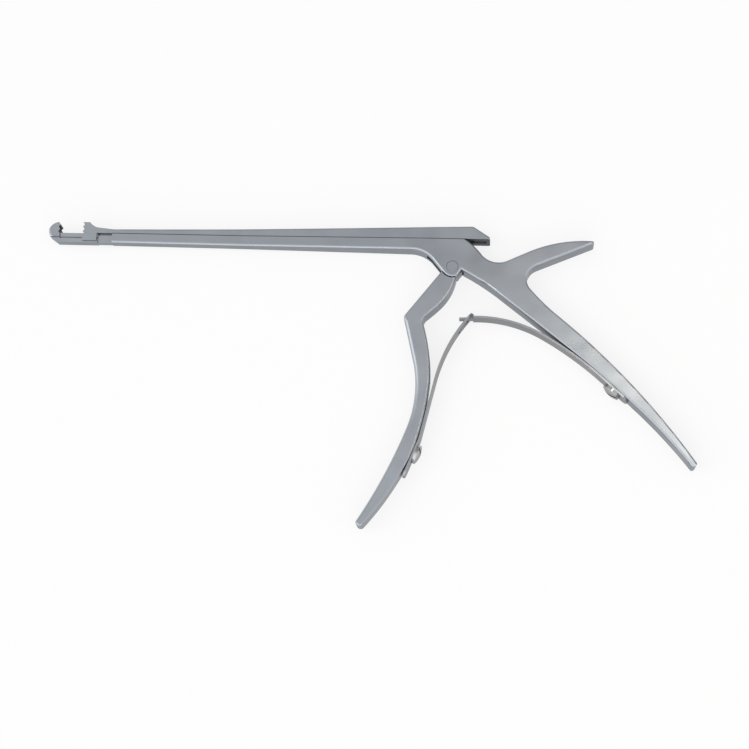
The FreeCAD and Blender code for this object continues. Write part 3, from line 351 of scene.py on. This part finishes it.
def painted_recess_shade():
    """Mask of painted shade between the jaws, under the slide's tail and along the joint under the slide."""
    group, tree, given, result = new_group("Painted recess shade", "ShaderNodeTree", [
        ("Seam height", "NodeSocketFloat", SEAM_HEIGHT),
        ("Seam reach", "NodeSocketFloat", 0.0003),
        ("Seam start", "NodeSocketFloat", SEAM_START),
        ("Seam stop", "NodeSocketFloat", SEAM_STOP),
        ("Bite before", "NodeSocketFloat", BITE_BEFORE),
        ("Bite way", "NodeSocketFloat", 0.0),
        ("Heel start", "NodeSocketFloat", 1.0),
        ("Facing from", "NodeSocketFloat", 0.2),
        ("Facing full", "NodeSocketFloat", 0.5),
        ("Under full", "NodeSocketFloat", -0.9),
        ("Under from", "NodeSocketFloat", -0.6),
        ("Hollow share", "NodeSocketFloat", 0.62),
    ], [("Recess", "NodeSocketFloat")])
    ask = given.outputs
    source = tree.add("ShaderNodeTexCoord").outputs
    place = tree.separate(source["Object"])
    facing = tree.separate(source["Normal"])
    off_seam = tree.math("ABSOLUTE", tree.math("SUBTRACT", place["Y"], ask["Seam height"]))
    seam = tree.ramp(off_seam, 0.0, ask["Seam reach"], 1.0, 0.0, smooth=True)
    seam = tree.math("MULTIPLY", seam, tree.math("GREATER_THAN", place["X"], ask["Seam start"]))
    seam = tree.math("MULTIPLY", seam, tree.math("LESS_THAN", place["X"], ask["Seam stop"]))
    towards = tree.math("MULTIPLY", facing["X"], ask["Bite way"])
    bite = tree.ramp(towards, ask["Facing from"], ask["Facing full"])
    bite = tree.math("MULTIPLY", bite, tree.math("LESS_THAN", place["X"], ask["Bite before"]))
    under = tree.ramp(facing["Y"], ask["Under full"], ask["Under from"], 1.0, 0.0)
    heel = tree.math("MULTIPLY", under, tree.math("GREATER_THAN", place["X"], ask["Heel start"]))
    hollow = tree.math("MULTIPLY", tree.math("MAXIMUM", bite, heel), ask["Hollow share"])
    tree.feed(result.inputs["Recess"], tree.math("MAXIMUM", seam, hollow))
    return group


# Painted shade on the walls and in the recesses, a painted highlight on the rounded edges, and darker handling
# marks, with how much of each shows
WALL_SHADE_TONE = (0.04, 0.042, 0.046, 1)
EDGE_HIGHLIGHT_TONE = (0.9, 0.92, 0.95, 1)
RECESS_SHADE_TONE = (0.015, 0.016, 0.018, 1)
RECESS_SHADE_SHARE = 0.85
MARK_DARKENING = 0.8
MARK_SHARE = 0.25

# Share of the lines in the tint, changes of the roughness, and heights of the relief
LINE_SHARE = 0.35
ROUGHNESS_SPREAD = 0.06
ROUGHER = {"marks": 0.12, "walls": 0.1, "recess": 0.3}
WAVE_HEIGHT = 0.0008
LINE_HEIGHT = 0.00003


def toned(tint, share):
    return [min(1, channel * share) for channel in tint] + [1]


def steel(name, tint, steels, roughness, turn=0.0, marks=0.4, spread=0.08, recesses=()):
    """Stainless steel with brushed lines. turn is the way of the brushing, spread the change of tint."""
    material = bpy.data.materials.new(name)
    tree = emptied(material)
    lines = tree.group("Brushed lines", {"Turn": turn})
    clouds = lines.outputs["Clouds"]
    # Masks for the painted shade on the walls, the painted highlight on the rounded edges and the painted shade
    # in the recesses
    painted_light = tree.group("Painted wall shade and edge highlight").outputs
    masks = {
        "marks": tree.group("Handling marks", {"Amount": marks}).outputs["Marks"],
        "walls": painted_light["Walls"],
        "recess": tree.group("Painted recess shade", recesses or {"Seam reach": 0.0}).outputs["Recess"],
    }
    shade = tree.math("ADD", tree.math("MULTIPLY", lines.outputs["Lines"], LINE_SHARE),
                      tree.math("MULTIPLY", clouds, 1 - LINE_SHARE))
    base = tree.mix(shade, toned(tint, 1 - spread), toned(tint, 1 + spread))
    # Painted shade on the walls, a painted highlight on the rounded edges, darker handling marks and painted
    # shade in the recesses
    for mask, share, tone in (
        (masks["walls"], steels.wall_shade, WALL_SHADE_TONE),
        (painted_light["Edges"], steels.painted_edge_highlight, EDGE_HIGHLIGHT_TONE),
        (masks["marks"], MARK_SHARE, toned(tint, MARK_DARKENING)),
        (masks["recess"], RECESS_SHADE_SHARE, RECESS_SHADE_TONE),
    ):
        base = tree.mix(tree.math("MULTIPLY", mask, share), base, tone)
    rough = tree.ramp(clouds, low=0.3, high=0.7, first=roughness - ROUGHNESS_SPREAD,
                      last=roughness + ROUGHNESS_SPREAD)
    for kind, mask in masks.items():
        rough = tree.math("ADD", rough, tree.math("MULTIPLY", mask, ROUGHER[kind]))
    waves = tree.add("ShaderNodeBump", {"Height": clouds, "Strength": steels.waves, "Distance": WAVE_HEIGHT})
    bump = tree.add("ShaderNodeBump", {"Height": lines.outputs["Lines"], "Strength": steels.grain,
                                       "Distance": LINE_HEIGHT, "Normal": waves.outputs["Normal"]})
    shader = tree.add("ShaderNodeBsdfPrincipled", {"Base Color": base, "Metallic": 1.0, "Roughness": rough,
                                                   "Normal": bump.outputs["Normal"]})
    tree.add("ShaderNodeOutputMaterial", {"Surface": shader.outputs[0]})
    return material


def give(piece, material):
    piece.data.materials.clear()
    piece.data.materials.append(material)


class RONGEUR_OT_finish_steel(bpy.types.Operator):
    """Give the frame, slide, trigger and pins their brushed steel"""
    bl_idname = "rongeur.finish_steel"
    bl_label = "Finish steel"

    def execute(self, context):
        steels = context.scene.rongeur_steel
        for build in (brushed_lines, handling_marks, painted_wall_shade_and_edge_highlight, painted_recess_shade):
            build()
        body = {"tint": steels.body, "steels": steels, "roughness": steels.roughness}
        finishes = {
            # Painted shade between the jaws on the frame, and between the jaws and under the tail on the slide
            "fixed_frame": steel("Satin frame", recesses={"Bite way": 1.0}, **body),
            "upper_slide": steel("Satin slide", recesses={"Bite way": -1.0, "Heel start": SEAM_STOP}, **body),
            "front_handle": steel("Satin trigger", turn=math.radians(80), **body),
            "pivot_pin": steel("Ground pin", **body),
            "drive_pin": steel("Ground drive pin", marks=0.2, **body),
        }
        for node, material in finishes.items():
            give(NODES[node], material)
        return {"FINISHED"}


def leaf_line(leaves, prefix, bend_side, aim):
    """The middle line of a leaf in the axes of its seat, from the tail to the tip.

    It is flat at the screw, bends, runs straight and then curls round to the aim, on the side of the handle.
    """
    names = ("tail", "flat", "bend", "bend_turn", "run")
    part = {name: getattr(leaves, prefix + "_" + name) for name in names}
    turn = part["bend_turn"]
    heading = bend_side * turn
    begin = Vector((part["flat"] + part["bend"] * math.sin(turn),
                    leaves.seat_gap + bend_side * part["bend"] * (1 - math.cos(turn))))
    begin += Vector((math.cos(heading), math.sin(heading))) * part["run"]
    left = Matrix.Rotation(-heading, 2) @ (aim - begin)
    curl = left.length_squared / (2 * left.y)
    curl_turn = 2 * math.atan2(left.y, left.x)
    stretches = [
        (part["tail"] + part["flat"], 0.0),
        (part["bend"] * turn, bend_side / part["bend"]),
        (part["run"], 0.0),
        (curl * curl_turn, 1 / curl),
    ]
    if prefix == "rear":
        stretches.append((leaves.tongue_length, 0.0))
    half = leaves.thickness / 2
    point = Vector((-part["tail"], leaves.seat_gap + half, 0))
    heading = 0.0
    points = [point.copy()]
    for stretch, curvature in stretches:
        on_middle = stretch * (1 - curvature * half)
        count = max(1, round(on_middle / leaves.step))
        for i in range(count):
            heading += curvature * stretch / count / 2
            point += Vector((math.cos(heading), math.sin(heading), 0)) * (on_middle / count)
            heading += curvature * stretch / count / 2
            points.append(point.copy())
    return points


def rounded_share(tree, distance, radius, half):
    """Share of the half width at a distance from a rounded end."""
    inside = tree.math("MAXIMUM", tree.math("SUBTRACT", radius, distance), 0.0)
    square = tree.math("SUBTRACT", tree.math("MULTIPLY", radius, radius),
                       tree.math("MULTIPLY", inside, inside))
    across = tree.math("SQRT", tree.math("MAXIMUM", square, 0.0))
    return tree.math("DIVIDE", tree.math("ADD", tree.math("SUBTRACT", half, radius), across), half)


def widen(tree, strip, share, middle):
    """Scale a strip across its width by a share stored along it."""
    place = tree.add("GeometryNodeInputPosition").outputs[0]
    parts = tree.separate(place)
    rise = tree.math("MULTIPLY", tree.math("SUBTRACT", parts["Z"], middle), share)
    moved = tree.combine(X=parts["X"], Y=parts["Y"], Z=tree.math("ADD", rise, middle))
    return tree.add("GeometryNodeSetPosition", {"Geometry": strip, "Position": moved}).outputs[0]


def swept(tree, line, thickness, width, share, middle):
    """A flat bar swept along a line, with its width changed along it."""
    upright = tree.add("GeometryNodeSetCurveNormal", {"Curve": line}, mode="Z_UP").outputs[0]
    kept = tree.add("GeometryNodeCaptureAttribute", {"Geometry": upright})
    kept.capture_items.new("FLOAT", "Share")
    tree.feed(kept.inputs["Share"], share)
    section = tree.add("GeometryNodeCurvePrimitiveQuadrilateral",
                       {"Width": thickness, "Height": width}).outputs[0]
    bar = tree.add("GeometryNodeCurveToMesh", {"Curve": kept.outputs["Geometry"], "Profile Curve": section,
                                               "Fill Caps": True}).outputs[0]
    return widen(tree, bar, kept.outputs["Share"], middle)


def cut(tree, mesh, cutter):
    return tree.add("GeometryNodeMeshBoolean", {"Mesh 1": mesh, "Mesh 2": cutter}, operation="DIFFERENCE",
                    solver="EXACT").outputs[0]


def dressed(tree, mesh, material):
    """Real mesh with its material."""
    real = tree.add("GeometryNodeRealizeInstances", {"Geometry": mesh}).outputs[0]
    return tree.add("GeometryNodeSetMaterial", {"Geometry": real, "Material": material}).outputs[0]


def bent_leaf_tree():
    """A strip that follows a line, with rounded ends, and with a tongue or a slot near its tip."""
    group, tree, given, result = new_group("Bent leaf", "GeometryNodeTree", [
        ("Line", "NodeSocketGeometry", None),
        ("Middle", "NodeSocketFloat", MIDDLE),
        ("Width", "NodeSocketFloat", LEAF_WIDTH),
        ("Thickness", "NodeSocketFloat", 0.0008),
        ("Corner", "NodeSocketFloat", 0.0026),
        ("Tongue length", "NodeSocketFloat", 0.0),
        ("Tongue width", "NodeSocketFloat", 0.0027),
        ("Slot end", "NodeSocketFloat", 0.0016),
        ("Slot length", "NodeSocketFloat", 0.0085),
        ("Slot width", "NodeSocketFloat", 0.0032),
        ("Slotted", "NodeSocketBool", False),
        ("Steel", "NodeSocketMaterial", None),
    ], [("Leaf", "NodeSocketGeometry")])
    ask = given.outputs
    half = tree.math("DIVIDE", ask["Width"], 2.0)
    way = tree.add("GeometryNodeSplineParameter").outputs["Length"]
    whole = tree.add("GeometryNodeSplineLength").outputs["Length"]
    left = tree.math("SUBTRACT", whole, way)
    tail = rounded_share(tree, way, ask["Corner"], half)
    tip = rounded_share(tree, left, ask["Corner"], half)
    on_tongue = tree.math("LESS_THAN", left, tree.math("ADD", ask["Tongue length"], 0.00001))
    has_tongue = tree.math("GREATER_THAN", ask["Tongue length"], 0.0)
    narrow = tree.math("DIVIDE", ask["Tongue width"], ask["Width"])
    end_share = tree.pick(has_tongue, tree.pick(on_tongue, narrow, 1.0), tip)
    share = tree.math("MULTIPLY", tail, end_share)
    strip = swept(tree, ask["Line"], ask["Thickness"], ask["Width"], share, ask["Middle"])

    total = tree.add("GeometryNodeCurveLength", {"Curve": ask["Line"]}).outputs[0]
    slot_stop = tree.math("SUBTRACT", total, ask["Slot end"])
    slot_start = tree.math("SUBTRACT", slot_stop, ask["Slot length"])
    cut_line = tree.add("GeometryNodeTrimCurve", {"Curve": ask["Line"]}, mode="LENGTH")
    tree.feed(cut_line.inputs[4], slot_start)
    tree.feed(cut_line.inputs[5], slot_stop)
    slot_half = tree.math("DIVIDE", ask["Slot width"], 2.0)
    slot_way = tree.add("GeometryNodeSplineParameter").outputs["Length"]
    slot_left = tree.math("SUBTRACT", tree.add("GeometryNodeSplineLength").outputs["Length"], slot_way)
    slot_radius = tree.math("MULTIPLY", slot_half, 0.96)
    slot_share = tree.math("MULTIPLY", rounded_share(tree, slot_way, slot_radius, slot_half),
                           rounded_share(tree, slot_left, slot_radius, slot_half))
    cut_depth = tree.math("MULTIPLY", ask["Thickness"], 3.0)
    cutter = swept(tree, cut_line.outputs[0], cut_depth, ask["Slot width"], slot_share, ask["Middle"])
    opened = cut(tree, strip, cutter)
    leaf = tree.add("GeometryNodeSwitch", {"Switch": ask["Slotted"], "False": strip, "True": opened},
                    input_type="GEOMETRY").outputs[0]
    tree.feed(result.inputs["Leaf"], dressed(tree, leaf, ask["Steel"]))
    return group


def screw_head_tree():
    """A cheese head with a domed top and a driver slot."""
    group, tree, given, result = new_group("Slotted head", "GeometryNodeTree", [
        ("Mesh", "NodeSocketGeometry", None),
        ("Radius", "NodeSocketFloat", 0.0038),
        ("Height", "NodeSocketFloat", 0.0018),
        ("Crown", "NodeSocketFloat", 0.00035),
        ("Slot width", "NodeSocketFloat", 0.001),
        ("Slot depth", "NodeSocketFloat", 0.0008),
        ("Slot turn", "NodeSocketFloat", 0.0),
        ("Steel", "NodeSocketMaterial", None),
    ], [("Head", "NodeSocketGeometry")])
    ask = given.outputs
    rim = tree.math("SUBTRACT", ask["Height"], ask["Crown"])
    drum = tree.add("GeometryNodeMeshCylinder", {
        "Vertices": 72, "Fill Segments": 8, "Radius": ask["Radius"], "Depth": rim,
    }, fill_type="TRIANGLE_FAN").outputs["Mesh"]
    parts = tree.separate(tree.add("GeometryNodeInputPosition").outputs[0])
    square = tree.math("ADD", tree.math("MULTIPLY", parts["X"], parts["X"]),
                       tree.math("MULTIPLY", parts["Y"], parts["Y"]))
    share = tree.math("DIVIDE", square, tree.math("MULTIPLY", ask["Radius"], ask["Radius"]))
    dome = tree.math("MULTIPLY", tree.math("SUBTRACT", 1.0, share), ask["Crown"])
    rise = tree.math("MULTIPLY", dome, tree.math("GREATER_THAN", parts["Z"], 0.0))
    lift = tree.combine(Z=tree.math("ADD", rise, tree.math("DIVIDE", rim, 2.0)))
    domed = tree.add("GeometryNodeSetPosition", {"Geometry": drum, "Offset": lift}).outputs[0]
    bar_size = tree.combine(X=tree.math("MULTIPLY", ask["Radius"], 3.0), Y=ask["Slot width"],
                            Z=tree.math("MULTIPLY", ask["Slot depth"], 2.0))
    bar = tree.add("GeometryNodeMeshCube", {"Size": bar_size}).outputs["Mesh"]
    placed = tree.add("GeometryNodeTransform", {
        "Geometry": bar,
        "Translation": tree.combine(Z=ask["Height"]),
        "Rotation": tree.combine(Z=ask["Slot turn"]),
    }).outputs[0]
    tree.feed(result.inputs["Head"], dressed(tree, cut(tree, domed, placed), ask["Steel"]))
    return group


def grown(name, source, group, values, place=Matrix.Identity(4)):
    """A plain mesh object made from a source object and a Geometry Nodes tree."""
    maker = bpy.data.objects.new(name + "_maker", source)
    bpy.context.scene.collection.objects.link(maker)
    modifier = maker.modifiers.new("Nodes", "NODES")
    modifier.node_group = group
    sockets = {item.name: item.identifier for item in group.interface.items_tree if item.in_out == "INPUT"}
    for key, value in values.items():
        modifier[sockets[key]] = value
    bpy.context.view_layer.update()
    evaluated = maker.evaluated_get(bpy.context.evaluated_depsgraph_get())
    mesh = bpy.data.meshes.new_from_object(evaluated)
    bpy.data.objects.remove(maker)
    mesh.name = name
    mesh.transform(place)
    piece = bpy.data.objects.new(name, mesh)
    bpy.context.scene.collection.objects.link(piece)
    return piece


def seat_place(screws, which):
    """Where the axes of a seat stand: +X along the leaf, +Y away from the handle, about the middle plane."""
    reach = getattr(screws, which + "_reach")
    direction = getattr(screws, which + "_place")
    turn = getattr(screws, which + "_angle")
    along = Vector((math.cos(turn), math.sin(turn), 0))
    away = Vector((-along.y, along.x, 0)) if which == "rear" else Vector((along.y, -along.x, 0))
    place = Matrix.Identity(4)
    for row in range(3):
        place[row][0] = along[row]
        place[row][1] = away[row]
        place[row][2] = along.cross(away)[row]
    place.translation = Vector((reach * math.cos(direction), reach * math.sin(direction), MIDDLE))
    return place


def smooth_by_angle(piece, degrees):
    """Round faces shade smooth and edges sharper than the angle stay crisp."""
    piece.data.shade_smooth()
    piece.data.set_sharp_from_angle(angle=math.radians(degrees))


class RONGEUR_OT_bend_leaves(bpy.types.Operator):
    """Bend the two leaf springs"""
    bl_idname = "rongeur.bend_leaves"
    bl_label = "Bend leaves"

    def execute(self, context):
        steels, leaves, screws = settings()
        group = bent_leaf_tree()
        material = steel("Satin spring", steels.spring, steels, steels.spring_roughness, turn=0.5)
        meeting = Vector((*leaves.meeting, MIDDLE))
        aims = {
            "rear": meeting + Vector((leaves.tongue_play, 0, 0)),
            "front": meeting + Vector((0, leaves.tip_rise, 0)),
        }
        for which, aim in aims.items():
            self.make(which, aim, leaves, screws, group, material)
            self.flex(which, meeting, leaves.held, screws)
        return {"FINISHED"}

    def make(self, which, aim, leaves, screws, group, material):
        place = seat_place(screws, which)
        bend_side = 1 if which == "rear" else -1
        points = leaf_line(leaves, which, bend_side, (place.inverted() @ aim).to_2d())
        source = bpy.data.curves.new(which + "_line", "CURVE")
        source.dimensions = "3D"
        line = source.splines.new("POLY")
        line.points.add(len(points) - 1)
        for point, position in zip(line.points, points):
            point.co = (*position, 1)
        piece = grown(which + "_leaf", source, group, {
            "Middle": 0.0, "Width": LEAF_WIDTH, "Thickness": leaves.thickness, "Corner": leaves.corner,
            "Tongue length": leaves.tongue_length if which == "rear" else 0.0,
            "Tongue width": leaves.tongue_width,
            "Slot end": leaves.slot_end, "Slot length": leaves.slot_length, "Slot width": leaves.slot_width,
            "Slotted": which == "front", "Steel": material,
        }, place)
        give(piece, material)
        smooth_by_angle(piece, degrees=30)
        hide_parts(which + "_leaf_spring")

    def flex(self, which, meeting, held, screws):
        """Bakes the leaf's place into its mesh; the point between its screw and the meeting is worked out but
        not used.
        """
        near = seat_place(screws, which).translation.lerp(meeting, held)
        leaf = bpy.data.objects[which + "_leaf"]
        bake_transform(leaf)


class RONGEUR_OT_turn_screws(bpy.types.Operator):
    """Make the slotted screws that hold the leaves"""
    bl_idname = "rongeur.turn_screws"
    bl_label = "Turn screws"

    def execute(self, context):
        steels, leaves, screws = settings()
        group = screw_head_tree()
        material = steel("Polished screw", steels.screw, steels, steels.screw_roughness, turn=0.3, marks=0.3)
        under = 2 * leaves.seat_gap + leaves.thickness
        for which, body in (("rear", "frame"), ("front", "trigger")):
            lift = Matrix.Translation((0, under, 0)) @ Euler((math.radians(-90), 0, 0)).to_matrix().to_4x4()
            piece = grown(which + "_screw", bpy.data.meshes.new(which + "_screw_seed"), group, {
                "Radius": screws.radius, "Height": screws.height, "Crown": screws.crown,
                "Slot width": screws.slot_width, "Slot depth": screws.slot_depth,
                "Slot turn": getattr(screws, which + "_slot_turn"), "Steel": material,
            }, seat_place(screws, which) @ lift)
            give(piece, material)
            rim = piece.modifiers.new("Rim", "BEVEL")
            rim.width = screws.rim
            rim.segments = 3
            rim.angle_limit = math.radians(50)
            smooth_by_angle(piece, degrees=35)
            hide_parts(which + "_spring_screw")
            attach(piece, body)
        return {"FINISHED"}


def lamp(name, power, size, position, target, tint=(1, 1, 1)):
    data = bpy.data.lights.new(name, "AREA")
    data.energy = power
    data.shape = "RECTANGLE"
    data.size, data.size_y = size
    data.color = tint
    light = bpy.data.objects.new(name, data)
    light.location = position
    light.rotation_euler = (Vector(target) - Vector(position)).to_track_quat("-Z", "Y").to_euler()
    bpy.context.scene.collection.objects.link(light)
    return light


class RONGEUR_OT_set_stage(bpy.types.Operator):
    """Lay the floor, hang the lamps and set the camera"""
    bl_idname = "rongeur.set_stage"
    bl_label = "Set stage"

    def execute(self, context):
        studio = context.scene.rongeur_studio
        self.floor(studio)
        lamp("Side soft box", studio.side, size=(0.6, 0.6), position=(-0.9, -0.1, 0.7),
             target=(-0.05, -0.04, 0))
        lamp("Front soft box", studio.front, size=(0.8, 0.4), position=(0.1, -0.9, 0.45),
             target=(-0.03, -0.04, 0))
        lamp("Handle lamp", studio.spot, size=(0.12, 0.12), position=(0.128, 0.038, 0.45),
             target=(0.085, -0.06, 0), tint=studio.spot_tint)
        context.scene.world = self.sky(studio)
        self.camera()
        context.scene.view_settings.view_transform = "Standard"
        return {"FINISHED"}

    def sky(self, studio):
        """Plain light all round, softer beyond the shaft."""
        world = bpy.data.worlds.new("Studio")
        tree = emptied(world)
        ahead = tree.separate(tree.add("ShaderNodeTexCoord").outputs["Generated"])
        level = tree.ramp(ahead["Y"], low=-0.1, high=0.6, first=studio.sky, last=studio.sky_behind, smooth=True)
        share = tree.ramp(ahead["X"], low=-0.25, high=-0.05, first=studio.sky_foot, last=studio.sky_body,
                          smooth=True)
        light = tree.add("ShaderNodeBackground", {"Color": (1, 1, 1, 1),
                                                  "Strength": tree.math("MULTIPLY", level, share)}).outputs[0]
        tree.add("ShaderNodeOutputWorld", {"Surface": light})
        return world

    def floor(self, studio):
        """A wide white floor, close under the part."""
        mesh = bpy.data.meshes.new("floor")
        reach = 30.0
        level = CAD_BOX[0][2] - FLOOR_GAP
        corners = [(x * reach, y * reach, level) for x, y in ((-1, -1), (1, -1), (1, 1), (-1, 1))]
        mesh.from_pydata(corners, [], [(0, 1, 2, 3)])
        floor = bpy.data.objects.new("floor", mesh)
        bpy.context.scene.collection.objects.link(floor)
        material = bpy.data.materials.new("Floor")
        tree = emptied(material)
        plain = tree.add("ShaderNodeBsdfDiffuse", {"Color": (*studio.floor, 1)}).outputs[0]
        white = tree.add("ShaderNodeEmission", {"Color": (1, 1, 1, 1), "Strength": 1.0}).outputs[0]
        rays = tree.add("ShaderNodeLightPath").outputs
        mirrored = tree.math("MAXIMUM", rays["Is Glossy Ray"], rays["Is Transmission Ray"])
        seen = tree.math("MAXIMUM", rays["Is Camera Ray"], mirrored)
        glow = tree.math("MULTIPLY", seen, studio.floor_glow)
        both = tree.add("ShaderNodeMixShader", {0: glow, 1: plain, 2: white}).outputs[0]
        tree.add("ShaderNodeOutputMaterial", {"Surface": both})
        give(floor, material)

    def camera(self):
        """The photograph looks down from above and a little from the handles' side."""
        data = bpy.data.cameras.new("Photo camera")
        data.sensor_width = 36
        data.lens = CAMERA_LENS
        camera = bpy.data.objects.new("Photo camera", data)
        back = (CAMERA_PLACE - CAMERA_TARGET).normalized()
        level = Vector((math.cos(CAMERA_ROLL), math.sin(CAMERA_ROLL), 0))
        right = (level - back * level.dot(back)).normalized()
        up = back.cross(right)
        turn = Matrix((right, up, back)).transposed().to_4x4()
        camera.matrix_world = Matrix.Translation(CAMERA_PLACE) @ turn
        bpy.context.scene.collection.objects.link(camera)
        bpy.context.scene.camera = camera


class RONGEUR_PT_panel(bpy.types.Panel):
    """Steps that dress the rongeur, in order"""
    bl_idname = "RONGEUR_PT_panel"
    bl_label = "Rongeur"
    bl_space_type = "VIEW_3D"
    bl_region_type = "UI"
    bl_category = "Rongeur"

    def draw(self, context):
        for step in OPERATORS:
            self.layout.operator(step.bl_idname)
        for group in GROUPS:
            values = getattr(context.scene, group)
            box = self.layout.box()
            for name in values.__annotations__:
                box.prop(values, name)


GROUPS = {
    "rongeur_steel": RONGEUR_PG_steel,
    "rongeur_leaves": RONGEUR_PG_leaves,
    "rongeur_screws": RONGEUR_PG_screws,
    "rongeur_studio": RONGEUR_PG_studio,
}
OPERATORS = (RONGEUR_OT_finish_steel, RONGEUR_OT_bend_leaves, RONGEUR_OT_turn_screws, RONGEUR_OT_set_stage)


def register():
    for item in (*GROUPS.values(), *OPERATORS, RONGEUR_PT_panel):
        bpy.utils.register_class(item)
    for name, group in GROUPS.items():
        setattr(bpy.types.Scene, name, bpy.props.PointerProperty(type=group))


def unregister():
    for name in GROUPS:
        delattr(bpy.types.Scene, name)
    for item in (RONGEUR_PT_panel, *reversed(OPERATORS), *reversed(tuple(GROUPS.values()))):
        bpy.utils.unregister_class(item)


def main():
    register()
    bpy.ops.rongeur.finish_steel()
    bpy.ops.rongeur.bend_leaves()
    bpy.ops.rongeur.turn_screws()
    bpy.ops.rongeur.set_stage()


if __name__ == "__main__":
    main()
